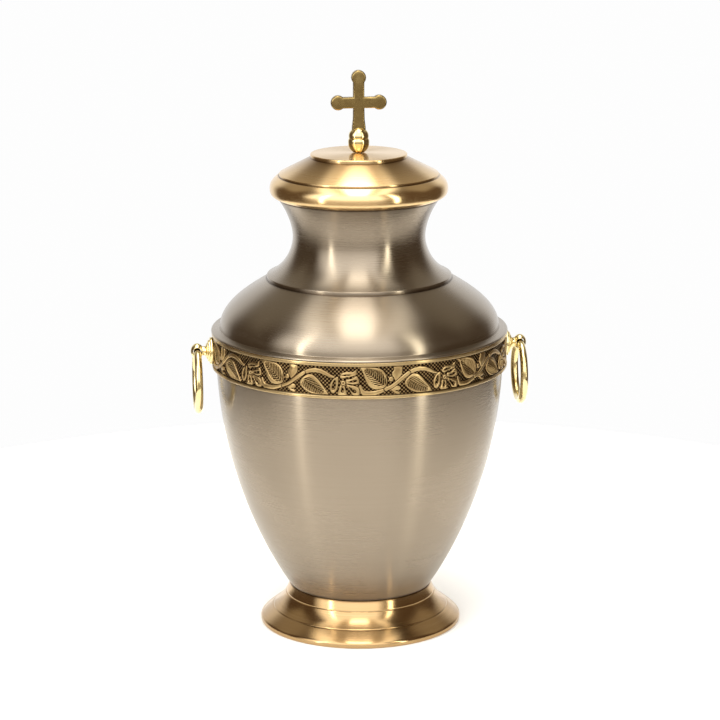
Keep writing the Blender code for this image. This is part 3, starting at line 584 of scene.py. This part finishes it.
def smooth(value, low, high):
    """Smooth step of an array from 0 at low to 1 at high."""
    share = np.clip((value - low) / (high - low), 0, 1)
    return share * share * (3 - 2 * share)


def rounded(points, steps=5):
    """A closed curve that passes smoothly through its points, in metres of the unrolled field."""
    corners = np.array([(u * PITCH, v * FIELD_HEIGHT) for u, v in points])
    before, after, beyond = (np.roll(corners, shift, 0) for shift in (1, -1, -2))
    curve_points = []
    for step in range(steps):
        t = step / steps
        curve_points.append(0.5 * (2 * corners + (after - before) * t
                                   + (2 * before - 5 * corners + 4 * after - beyond) * t ** 2
                                   + (3 * corners - before - 3 * after + beyond) * t ** 3))
    return np.stack(curve_points, 1).reshape(-1, 2)


def wrapped(x, middle):
    """Places along the repeat, each moved to the copy nearest to a middle."""
    return x - PITCH * np.round((x - middle) / PITCH)


def along_edge(x, y, start, edge):
    """Share of the way along an edge of the nearest point to each place, and its distance."""
    share = ((x - start[0]) * edge[0] + (y - start[1]) * edge[1]) / max(edge @ edge, 1e-18)
    share = np.clip(share, 0, 1)
    return share, np.hypot(x - start[0] - share * edge[0], y - start[1] - share * edge[1])


class Carving:
    """Height of the carving over one repeat, built up shape by shape."""

    def __init__(self):
        along = (np.arange(TILE_COLUMNS) + 0.5) / TILE_COLUMNS * PITCH
        up = np.arange(TILE_ROWS + 1) / TILE_ROWS * FIELD_HEIGHT
        self.x, self.y = np.meshgrid(along, up)
        self.height = np.zeros_like(self.x)

    def depth_inside(self, outline):
        """Distance inside an outline, negative outside."""
        x = wrapped(self.x, outline[:, 0].mean())
        nearest = np.full(x.shape, 1.0)
        crossings = np.zeros(x.shape, int)
        for start, end in zip(outline, np.roll(outline, -1, 0)):
            edge = end - start
            nearest = np.minimum(nearest, along_edge(x, self.y, start, edge)[1])
            spans = (start[1] > self.y) != (end[1] > self.y)
            rise = edge[1] if abs(edge[1]) > 1e-12 else 1e-12
            crossings += spans & (start[0] + (self.y - start[1]) / rise * edge[0] > x)
        return np.where(crossings % 2 == 1, nearest, -nearest)

    def depth_in_line(self, points):
        """Distance inside a line of varying width, negative outside."""
        line = np.array([(u * PITCH, v * FIELD_HEIGHT, half * FIELD_HEIGHT) for u, v, half in points])
        deepest = np.full(self.x.shape, -1.0)
        for turn in (0, PITCH):
            x = self.x + turn
            for start, end in zip(line, line[1:]):
                share, away = along_edge(x, self.y, start, (end - start)[:2])
                deepest = np.maximum(deepest, start[2] + share * (end[2] - start[2]) - away)
        return deepest

    def depth_in_disc(self, u, v, radius):
        """Distance inside a disc, negative outside."""
        x = wrapped(self.x, u * PITCH)
        return radius * FIELD_HEIGHT - np.hypot(x - u * PITCH, self.y - v * FIELD_HEIGHT)

    def add(self, depth):
        """Raises a shape, with a clear dark line cut round it."""
        self.height = self.height * smooth(-depth, CLEAR_LINE * 0.35, CLEAR_LINE)
        rise = RELIEF * smooth(depth, -SLOPE * 0.15, SLOPE) + CROWN * np.clip(depth / CROWN_WIDTH, 0, 1)
        self.height = np.maximum(self.height, np.where(depth > -SLOPE * 0.15, rise, 0))

    def cut(self, strength, depth=0.95):
        """Sinks the carving by a share of its height where the strength is full."""
        self.height = self.height * (1 - depth * np.clip(strength, 0, 1))

    def vein(self, depth, root, tip, sides):
        """Midrib and strokes of a leaf; each side has the share of its width that its strokes cover."""
        start = np.array((root[0] * PITCH, root[1] * FIELD_HEIGHT))
        end = np.array((tip[0] * PITCH, tip[1] * FIELD_HEIGHT))
        length = math.hypot(*(end - start))
        direction = (end - start) / length
        dx = wrapped(self.x, (start[0] + end[0]) / 2) - start[0]
        dy = self.y - start[1]
        t = (dx * direction[0] + dy * direction[1]) / length
        across = -dx * direction[1] + dy * direction[0]
        share = np.abs(across) / np.maximum(np.abs(across) + np.maximum(depth, 0), 1e-9)
        ends = smooth(t, 0.04, 0.14) * smooth(t, 0.96, 0.84) * (depth > 0)
        phase = (t - STROKE_SLANT * np.abs(across) / length) * LEAF_STROKES
        stroke = smooth(np.abs(phase % 1 - 0.5), *STROKE_EDGES)
        for side, reach, strength in sides:
            covered = smooth(side * across, *STROKE_START) * smooth(share, reach, reach - STROKE_FADE)
            self.cut(stroke * covered * ends, strength)
        self.cut(smooth(np.abs(across), *MIDRIB_EDGES) * ends * 0.8)

    def plain_rim_line(self):
        """The dark line along both edges of the field."""
        self.height = self.height * smooth(self.y, *RIM_LINE)
        self.height = self.height * smooth(FIELD_HEIGHT - self.y, *RIM_LINE)


def carved_tile():
    """Height of the carving over one repeat."""
    carving = Carving()
    carving.add(carving.depth_in_line(STEM))
    for outline in (TOP_LEAFLET, LOW_LEAFLET):
        carving.add(carving.depth_inside(rounded(outline)))
    carving.add(carving.depth_in_line(STEM[6:12]))
    depth = carving.depth_inside(rounded(BIG_LEAF))
    carving.add(depth)
    carving.vein(depth, (0.548, 0.300), (0.318, 0.940), ((-1, 0.84, 1.0), (1, 0.62, 0.85)))
    depth = carving.depth_inside(rounded(LOW_LEAF))
    carving.add(depth)
    carving.vein(depth, (0.735, 0.500), (0.975, 0.070), ((1, 0.70, 1.0), (-1, 0.84, 1.0)))
    for outline in (LEFT_PETAL, LOW_PETAL, LOW_RIGHT_PETAL, RIGHT_PETAL, UPPER_PETAL):
        carving.add(carving.depth_inside(rounded(outline)))
    for outline in SLOTS:
        carving.cut(smooth(carving.depth_inside(rounded(outline)), *SLOT_EDGES))
    for disc in (BERRY, EYE):
        carving.add(carving.depth_in_disc(*disc))
    u, v, radius = EYE
    hole = EYE_HOLE * radius
    carving.cut(smooth(carving.depth_in_disc(u, v, hole) / (hole * FIELD_HEIGHT), -0.3, 0.4))
    carving.plain_rim_line()
    return carving.height


def make_carving(finish):
    """The carved field wrapped round the band, in panels of whole repeats."""
    tile = carved_tile()
    raised = tile / (RELIEF + CROWN)
    per_panel = REPEATS // PANELS
    columns = TILE_COLUMNS * per_panel
    heights = FIELD_BOTTOM + np.arange(TILE_ROWS + 1) / TILE_ROWS * FIELD_HEIGHT
    for panel in range(PANELS):
        steps = panel * columns + np.arange(columns + 1)
        turns = math.radians(FIRST_FLOWER_ANGLE)
        turns = turns + 2 * np.pi / REPEATS * ((steps + 0.5) / TILE_COLUMNS - FLOWER_SHARE)
        picked = steps % TILE_COLUMNS
        radius = GROUND_RADIUS + CARVING_LIFT + tile[:, picked]
        radius[0] -= EDGE_DROP
        radius[-1] -= EDGE_DROP
        verts = np.empty((TILE_ROWS + 1, columns + 1, 3))
        verts[:, :, 0] = radius * np.cos(turns)
        verts[:, :, 1] = radius * np.sin(turns)
        verts[:, :, 2] = heights[:, None]
        faces = []
        column = np.arange(columns)
        for row in range(TILE_ROWS):
            low, high = row * (columns + 1), (row + 1) * (columns + 1)
            faces += np.stack([low + column, low + column + 1, high + column + 1, high + column], 1).tolist()
        new_piece(f"band_carving_{panel + 1}", verts.reshape(-1, 3).tolist(), faces, finish, "urn",
                  ["ornament_band"], crease=180,
                  attributes={"raised": raised[:, picked].reshape(-1)})


def carved_metal(name):
    """Antiqued brass: dark cross-hatched ground, bright worn tops and brown slopes."""
    made, nodes, shader, place, (x, y, z, _) = new_material(name)
    raised = nodes.add("ShaderNodeAttribute", attribute_name="raised").outputs["Fac"]
    turn = nodes.math("ARCTAN2", y, x)
    along = nodes.math("MULTIPLY", turn, GROUND_RADIUS)
    wave = 2 * math.pi / CHECKER_PITCH
    hatch = nodes.math("MULTIPLY", nodes.math("SINE", nodes.math("MULTIPLY", along, wave)),
                       nodes.math("SINE", nodes.math("MULTIPLY", z, wave)))
    dots = nodes.ranged(hatch, 0.08, 0.36)
    wear = nodes.noise(place, 150.0, 3.0)
    grain = nodes.noise(place, 1500.0, 2.0)
    dots = nodes.math("MULTIPLY", dots, nodes.ranged(wear, 0.3, 0.65, 0.65, 1.0))
    ground = nodes.mix(dots, (0.004, 0.0015, 0.0005), (0.34, 0.222, 0.10))
    top = nodes.mix(nodes.ranged(wear, 0.35, 0.7), (0.40, 0.272, 0.122), (0.54, 0.390, 0.185))
    slope = nodes.mix(nodes.ranged(raised, 0.40, 0.80), (0.055, 0.024, 0.008), top)
    is_up = nodes.ranged(nodes.math("ADD", raised, nodes.math("MULTIPLY", grain, 0.06)), 0.10, 0.38)
    nodes.link(nodes.mix(is_up, ground, slope), shader.inputs["Base Color"])
    nodes.link(nodes.ranged(raised, 0.1, 0.9, 0.48, 0.30), shader.inputs["Roughness"])
    nodes.link(nodes.ranged(nodes.math("MAXIMUM", raised, dots), 0.0, 0.3, 0.15, 1.0),
               shader.inputs["Specular Tint"])
    low = nodes.math("MULTIPLY", dots, nodes.math("SUBTRACT", 1.0, is_up))
    nodes.bump(nodes.math("ADD", low, nodes.math("MULTIPLY", grain, 0.25)), 0.8, CHECKER_DEPTH, shader)
    return made


def band_profile():
    """Plain rims above and below the recess that holds the carving."""
    bore = SEAT_RADIUS + GAP
    soft = 0.0004
    return softened([
        (bore, BAND_BOTTOM), (RIM_RADIUS - soft, BAND_BOTTOM), (RIM_RADIUS, BAND_BOTTOM + soft),
        (RIM_RADIUS, FIELD_BOTTOM - soft), (RIM_RADIUS - soft, FIELD_BOTTOM), (GROUND_RADIUS, FIELD_BOTTOM),
        (GROUND_RADIUS, FIELD_TOP), (RIM_RADIUS - soft, FIELD_TOP), (RIM_RADIUS, FIELD_TOP + soft),
        (RIM_RADIUS, BAND_TOP - soft), (RIM_RADIUS - soft, BAND_TOP), (bore, BAND_TOP),
    ], reach=0.0002)


make_carving(carved_metal("antiqued_brass"))
band_crevices = [((GROUND_RADIUS, FIELD_BOTTOM), 0.0013), ((GROUND_RADIUS, FIELD_TOP), 0.0013)]
turned_piece("band_rims", band_profile(), RIM_BRASS, "ornament_band", band_crevices, segments=BAND_STEPS)


# Cross finial

BALL_RADIUS = 0.0067
BALL_HEIGHT = 0.0086
BALL_MIDDLE = 0.0064
FINIAL_GROOVE_RADIUS = 0.0060
COLLAR_BEAD_RADIUS = 0.0063
COLLAR_BEAD_HEIGHT = 0.0058
CROSS_BOTTOM = FINIAL_BOTTOM + BALL_HEIGHT + COLLAR_BEAD_HEIGHT
CROSS_ARM_HEIGHT = CROSS_BOTTOM + 0.0165
CROSS_BAR_WIDTH = 0.0070
CROSS_FOOT_WIDTH = 0.0085
CROSS_FOOT_TAPER = 0.0006
CROSS_LOBE_RADIUS = 0.0046
CROSS_THICKNESS = 0.0050
CROSS_EDGE = 0.0011
LOBE_STEPS = 26
BALL_STEPS = 72


def finial_profile():
    """Ball and bead under the cross."""
    groove = FINIAL_BOTTOM + BALL_HEIGHT
    middle = FINIAL_BOTTOM + BALL_MIDDLE
    bead = groove + COLLAR_BEAD_HEIGHT / 4
    profile = [(AXIS_RADIUS, FINIAL_BOTTOM), (0.0037, FINIAL_BOTTOM)]
    profile += curve((0.0037, FINIAL_BOTTOM), 38, 0.0021, (BALL_RADIUS, middle), 90, 0.0032, 14)[1:]
    profile += curve((BALL_RADIUS, middle), 90, 0.0011, (FINIAL_GROOVE_RADIUS, groove), 130, 0.0007, 8)[1:]
    profile += curve((FINIAL_GROOVE_RADIUS, groove), 40, 0.0004,
                     (COLLAR_BEAD_RADIUS, bead), 90, 0.0006, 6)[1:]
    profile += curve((COLLAR_BEAD_RADIUS, bead), 90, 0.0029,
                     (AXIS_RADIUS, CROSS_BOTTOM + 0.0015), 180, 0.0031, 18)[1:]
    return profile


def cross_outline():
    """The cross from the front as (x, z) points, anticlockwise from the left of its foot."""
    half_bar = CROSS_BAR_WIDTH / 2
    lobe_turn = math.asin(half_bar / CROSS_LOBE_RADIUS)
    reach = CROSS_SPAN / 2 - CROSS_LOBE_RADIUS
    top = CROSS_TOP - CROSS_LOBE_RADIUS
    half_foot = CROSS_FOOT_WIDTH / 2
    points = [(-half_foot, CROSS_BOTTOM - 0.002), (half_foot, CROSS_BOTTOM - 0.002)]
    points += [(half_foot, CROSS_BOTTOM + 0.001), (half_foot - CROSS_FOOT_TAPER, CROSS_BOTTOM + 0.006)]
    points.append((half_bar, CROSS_ARM_HEIGHT - half_bar))
    for (x, z), facing in (((reach, CROSS_ARM_HEIGHT), 0), ((0, top), 90), ((-reach, CROSS_ARM_HEIGHT), 180)):
        if facing == 90:
            points.append((half_bar, CROSS_ARM_HEIGHT + half_bar))
        if facing == 180:
            points.append((-half_bar, CROSS_ARM_HEIGHT + half_bar))
        for step in range(LOBE_STEPS + 1):
            turn = math.radians(facing) - math.pi + lobe_turn + 2 * (math.pi - lobe_turn) * step / LOBE_STEPS
            points.append((x + CROSS_LOBE_RADIUS * math.cos(turn), z + CROSS_LOBE_RADIUS * math.sin(turn)))
    points.append((-half_bar, CROSS_ARM_HEIGHT - half_bar))
    points += [(CROSS_FOOT_TAPER - half_foot, CROSS_BOTTOM + 0.006), (-half_foot, CROSS_BOTTOM + 0.001)]
    return points


def make_cross():
    """Flat cast cross with rounded edges, over its turned ball and bead."""
    mesh = bmesh.new()
    corners = [mesh.verts.new((x, -CROSS_THICKNESS / 2, z)) for x, z in cross_outline()]
    front = mesh.faces.new(corners)
    pushed = bmesh.ops.extrude_face_region(mesh, geom=[front])
    moved = [item for item in pushed["geom"] if isinstance(item, bmesh.types.BMVert)]
    bmesh.ops.translate(mesh, verts=moved, vec=(0, CROSS_THICKNESS, 0))
    bmesh.ops.recalc_face_normals(mesh, faces=mesh.faces)
    rims = [edge for edge in mesh.edges if abs(edge.verts[0].co.y - edge.verts[1].co.y) < 1e-6]
    bmesh.ops.bevel(mesh, geom=rims, offset=CROSS_EDGE, segments=5, profile=0.5, affect="EDGES",
                    clamp_overlap=True)
    data = bpy.data.meshes.new("cross_shape")
    mesh.to_mesh(data)
    mesh.free()
    verts = [tuple(v.co) for v in data.vertices]
    faces = [list(polygon.vertices) for polygon in data.polygons]
    bpy.data.meshes.remove(data)
    new_piece("cross_body", verts, faces, SHADED_CROSS_BRASS, "urn", ["cross_finial"], crease=50)
    verts, faces = revolved(finial_profile(), BALL_STEPS)
    new_piece("finial_ball", verts.tolist(), faces, POLISHED, "urn", ["cross_finial"])


make_cross()


# Handles

STEM_RADIUS = 0.0029
BOSS_HEIGHT = 0.0043
KNOB_RADIUS = 0.0049
KNOB_HALF_LENGTH = 0.0041
RING_RADIUS = 0.0187
RING_WIRE_TOP = 0.0023
RING_WIRE_BOTTOM = 0.0026
EYE_CLEARANCE = 0.0003
BOSS_STEPS = 72
EYE_STEPS = 40
RING_STEPS = 128
WIRE_STEPS = 28


def boss_profile():
    """Stepped rosette, stem and knob as (radius, distance from the urn's axis) points."""
    seat = RIM_RADIUS
    profile = [(AXIS_RADIUS, seat - 0.0012), (ROSETTE_RADIUS - 0.0002, seat - 0.0012),
               (ROSETTE_RADIUS, seat - 0.0009)]
    profile += curve((ROSETTE_RADIUS, seat + 0.0006), 90, 0.0008,
                     (ROSETTE_RADIUS - 0.0011, seat + 0.0017), 170, 0.0006, 8)
    profile += curve((ROSETTE_RADIUS - 0.0017, seat + 0.0017), 80, 0.0008,
                     (0.0056, seat + 0.0030), 168, 0.0009, 8)
    profile += curve((0.0051, seat + 0.0030), 80, 0.0005, (0.0037, seat + 0.0040), 160, 0.0006, 8)
    stem = seat + BOSS_HEIGHT
    profile += [(STEM_RADIUS + 0.0004, seat + 0.0041), (STEM_RADIUS, stem + 0.0004)]
    knob_centre = KNOB_END - KNOB_HALF_LENGTH
    start_turn = math.asin(STEM_RADIUS / KNOB_RADIUS)
    steps = 22
    for step in range(steps + 1):
        turn = start_turn + (math.pi - start_turn) * step / steps
        out = knob_centre - KNOB_HALF_LENGTH * math.cos(turn)
        profile.append((max(KNOB_RADIUS * math.sin(turn), AXIS_RADIUS), out))
    return profile


def eye_profile():
    """Flared hole that leaves room for the ring's bend."""
    reach = KNOB_RADIUS * 1.3
    profile = [(AXIS_RADIUS, -reach)]
    steps = 14
    for step in range(steps + 1):
        along = reach * (2 * step / steps - 1)
        sag = RING_RADIUS - math.sqrt(RING_RADIUS ** 2 - along ** 2)
        profile.append((RING_WIRE_TOP + EYE_CLEARANCE + sag, along))
    return profile + [(AXIS_RADIUS, reach)]


def mesh_object(name, verts, faces, matrix):
    """A plain closed object for cutting, not yet a piece."""
    data = bpy.data.meshes.new(name)
    data.from_pydata([tuple(v) for v in verts], [], faces)
    data.transform(matrix)
    mesh = bmesh.new()
    mesh.from_mesh(data)
    bmesh.ops.remove_doubles(mesh, verts=mesh.verts, dist=1e-7)
    holes = [edge for edge in mesh.edges if len(edge.link_faces) == 1]
    bmesh.ops.holes_fill(mesh, edges=holes)
    bmesh.ops.recalc_face_normals(mesh, faces=mesh.faces)
    mesh.to_mesh(data)
    mesh.free()
    made = bpy.data.objects.new(name, data)
    bpy.context.scene.collection.objects.link(made)
    return made


def make_boss(side, facing):
    """Rosette and knob, with the eye cut through the knob."""
    verts, faces = revolved(boss_profile(), BOSS_STEPS)
    outwards = Matrix.Translation((0, 0, BOSS_CENTRE)) @ Matrix.Rotation(math.pi / 2, 4, "Y")
    boss = mesh_object("boss", verts, faces, outwards)
    verts, faces = revolved(eye_profile(), EYE_STEPS)
    across = Matrix.Translation(HINGE) @ Matrix.Rotation(math.pi / 2, 4, "X")
    eye = mesh_object("eye", verts, faces, across)
    modifier = boss.modifiers.new("eye", "BOOLEAN")
    modifier.operation = "DIFFERENCE"
    modifier.solver = "EXACT"
    modifier.object = eye
    bpy.context.view_layer.update()
    shown = boss.evaluated_get(bpy.context.evaluated_depsgraph_get()).to_mesh()
    verts = [Matrix.Rotation(math.radians(facing), 4, "Z") @ v.co for v in shown.vertices]
    faces = [list(polygon.vertices) for polygon in shown.polygons]
    bpy.data.objects.remove(boss)
    bpy.data.objects.remove(eye)
    node = f"handle_boss_{side}"
    new_piece(f"rosette_{side}", verts, faces, POLISHED, "urn", [node], crease=35)


def make_ring(side, facing):
    """Drop ring of round wire, a little thinner where it passes through the eye."""
    verts = []
    faces = []
    turn_out = Matrix.Rotation(math.radians(facing), 4, "Z") @ Matrix.Translation(HINGE)
    for step in range(RING_STEPS):
        turn = 2 * math.pi * step / RING_STEPS
        wire = RING_WIRE_TOP + (RING_WIRE_BOTTOM - RING_WIRE_TOP) * (1 - math.cos(turn)) / 2
        outward = Vector((0, math.sin(turn), math.cos(turn)))
        for edge in range(WIRE_STEPS):
            around = 2 * math.pi * edge / WIRE_STEPS
            beside = (edge + 1) % WIRE_STEPS
            place = (RING_RADIUS + wire * math.cos(around)) * outward
            place.x += wire * math.sin(around)
            place.z -= RING_RADIUS
            verts.append(turn_out @ place)
            low, high = step * WIRE_STEPS, (step + 1) % RING_STEPS * WIRE_STEPS
            faces.append([low + edge, low + beside, high + beside, high + edge])
    new_piece(f"drop_ring_{side}", verts, faces, POLISHED, f"{side}_ring", [f"ring_{side}"])


for side, facing in (("right", 0), ("left", 180)):
    make_boss(side, facing)
    make_ring(side, facing)


# Floor, light and camera

FLOOR_RADIUS = 0.5
FLOOR_DROP = 0.0002
FLOOR_GLOW = 0.09
STUDIO_LIGHT = 2.6
STRIP_LIGHT = 3.0
BACKDROP = 0.985


def make_floor():
    """A wide pale floor with a faint mottle."""
    made = bpy.data.materials.new("pale_floor")
    made.use_nodes = True
    nodes = Nodes(made.node_tree)
    shader = made.node_tree.nodes["Principled BSDF"]
    place = nodes.add("ShaderNodeTexCoord").outputs["Object"]
    mottle = nodes.noise(place, 9.0, 4.0)
    nodes.link(nodes.mix(nodes.ranged(mottle, 0.3, 0.7), (0.95, 0.95, 0.945), (0.975, 0.975, 0.97)),
               shader.inputs["Base Color"])
    shader.inputs["Roughness"].default_value = 0.55
    shader.inputs["Emission Color"].default_value = (1, 1, 1, 1)
    shader.inputs["Emission Strength"].default_value = FLOOR_GLOW
    verts, faces = revolved([(AXIS_RADIUS, -FLOOR_DROP), (FLOOR_RADIUS, -FLOOR_DROP)], 96)
    data = bpy.data.meshes.new("floor")
    data.from_pydata(verts.tolist(), [], faces)
    data.flip_normals()
    data.materials.append(made)
    floor = bpy.data.objects.new("floor", data)
    bpy.context.scene.collection.objects.link(floor)


def ramp(nodes, value, stops):
    """Colour ramp over a value that stands for -180 to 180 degrees, counted from the camera's side."""
    node = nodes.add("ShaderNodeValToRGB")
    nodes.feed(node.inputs[0], value)
    elements = node.color_ramp.elements
    while len(elements) > 1:
        elements.remove(elements[-1])
    for index, (degrees, colour) in enumerate(stops):
        position = (degrees + 180) / 360
        element = elements[0] if index == 0 else elements.new(position)
        element.position = position
        element.color = (*colour, 1.0)
    return node.outputs["Color"]


def make_world():
    """Soft studio light: a bright front, warm dark sides, a pale backdrop and two tall strip lights."""
    world = bpy.data.worlds.new("studio")
    world.use_nodes = True
    bpy.context.scene.world = world
    nodes = Nodes(world.node_tree)
    for node in list(world.node_tree.nodes):
        world.node_tree.nodes.remove(node)
    direction = nodes.add("ShaderNodeTexCoord").outputs["Generated"]
    turned = nodes.add("ShaderNodeVectorRotate", rotation_type="Z_AXIS")
    nodes.link(direction, turned.inputs["Vector"])
    turned.inputs["Angle"].default_value = -math.radians(CAMERA_AZIMUTH)
    parts = nodes.add("ShaderNodeSeparateXYZ")
    nodes.link(turned.outputs[0], parts.inputs[0])
    x, y, z = parts.outputs
    azimuth = nodes.math("ARCTAN2", x, nodes.math("MULTIPLY", y, -1.0))
    azimuth = nodes.math("ADD", nodes.math("DIVIDE", azimuth, 2 * math.pi), 0.5)
    white = (0.42, 0.42, 0.42)
    bright = (0.92, 0.92, 0.92)
    dark = (0.055, 0.038, 0.024)
    dim = (0.16, 0.135, 0.105)
    sides = ramp(nodes, azimuth, [(-180, white), (-146, white), (-130, dark), (-80, dark), (-64, bright),
                                  (28, bright), (42, dim), (54, dark), (132, dark), (150, white)])
    off = (0, 0, 0)
    left_strip = (1, 1, 0.94)
    right_strip = (1, 1, 0.90)
    strips = ramp(nodes, azimuth, [(-52, off), (-50.5, left_strip), (-47.5, left_strip), (-46, off),
                                   (46, off), (48, right_strip), (52, right_strip), (54, off)])
    shade = (0.030, 0.023, 0.016)
    gap = (0.50, 0.44, 0.35)
    panel = (1.10, 1.08, 1.02)
    middle = (2.40, 2.36, 2.24)
    across = nodes.math("ADD", nodes.math("MULTIPLY", x, 0.5), 0.5)
    ceiling = ramp(nodes, across, [(-180, shade), (-98, shade), (-86, panel), (-62, panel), (-50, gap),
                                   (-36, gap), (-26, middle), (20, middle), (30, gap), (42, gap),
                                   (52, panel), (66, panel), (78, shade), (180, shade)])
    below_dark = (0.055, 0.040, 0.027)
    front = (0.24, 0.215, 0.185)
    below = ramp(nodes, azimuth, [(-180, white), (-146, white), (-128, below_dark), (-78, below_dark),
                                  (-62, dim), (-24, front), (20, front), (48, below_dark), (130, below_dark),
                                  (150, white)])
    light = nodes.mix(nodes.ranged(z, 0.80, 0.92), sides, ceiling)
    light = nodes.mix(nodes.ranged(z, -0.02, 0.24), below, light)
    behind = nodes.math("MULTIPLY", nodes.ranged(y, 0.05, 0.30), nodes.ranged(z, 0.35, 0.60))
    behind = nodes.math("MULTIPLY", behind, nodes.ranged(z, 0.90, 0.80))
    light = nodes.mix(behind, light, (0.17, 0.150, 0.120))
    strip_height = nodes.math("MULTIPLY", nodes.ranged(z, -0.30, -0.12), nodes.ranged(z, 0.88, 0.72))
    strips = nodes.mix(1.0, strips, (STRIP_LIGHT, STRIP_LIGHT, STRIP_LIGHT), blend="MULTIPLY")
    strip_light = nodes.mix(strip_height, off, strips)
    light = nodes.mix(1.0, light, strip_light, blend="ADD")
    seen = nodes.add("ShaderNodeLightPath").outputs["Is Camera Ray"]
    shine = nodes.add("ShaderNodeBackground")
    nodes.link(light, shine.inputs["Color"])
    shine.inputs["Strength"].default_value = STUDIO_LIGHT
    plain = nodes.add("ShaderNodeBackground")
    plain.inputs["Color"].default_value = (BACKDROP, BACKDROP, BACKDROP, 1)
    pick = nodes.add("ShaderNodeMixShader")
    nodes.link(seen, pick.inputs[0])
    nodes.link(shine.outputs[0], pick.inputs[1])
    nodes.link(plain.outputs[0], pick.inputs[2])
    output = nodes.add("ShaderNodeOutputWorld")
    nodes.link(pick.outputs[0], output.inputs["Surface"])


def make_camera():
    """The photograph's camera."""
    turn = math.radians(CAMERA_AZIMUTH)
    out = Vector((math.sin(turn), -math.cos(turn), 0))
    pitch = math.radians(CAMERA_PITCH)
    data = bpy.data.cameras.new("camera")
    data.lens = LENS
    data.sensor_width = 36
    data.shift_x = FRAME_SHIFT
    camera = bpy.data.objects.new("camera", data)
    camera.location = out * CAMERA_DISTANCE + Vector((0, 0, CAMERA_HEIGHT))
    look = -out * math.cos(pitch) - Vector((0, 0, math.sin(pitch)))
    camera.rotation_mode = "QUATERNION"
    roll = Quaternion((0, 0, 1), math.radians(CAMERA_ROLL))
    camera.rotation_quaternion = look.to_track_quat("-Z", "Y") @ roll
    bpy.context.scene.collection.objects.link(camera)
    bpy.context.scene.camera = camera


make_floor()
make_world()
make_camera()
bpy.context.scene.view_settings.view_transform = "Standard"
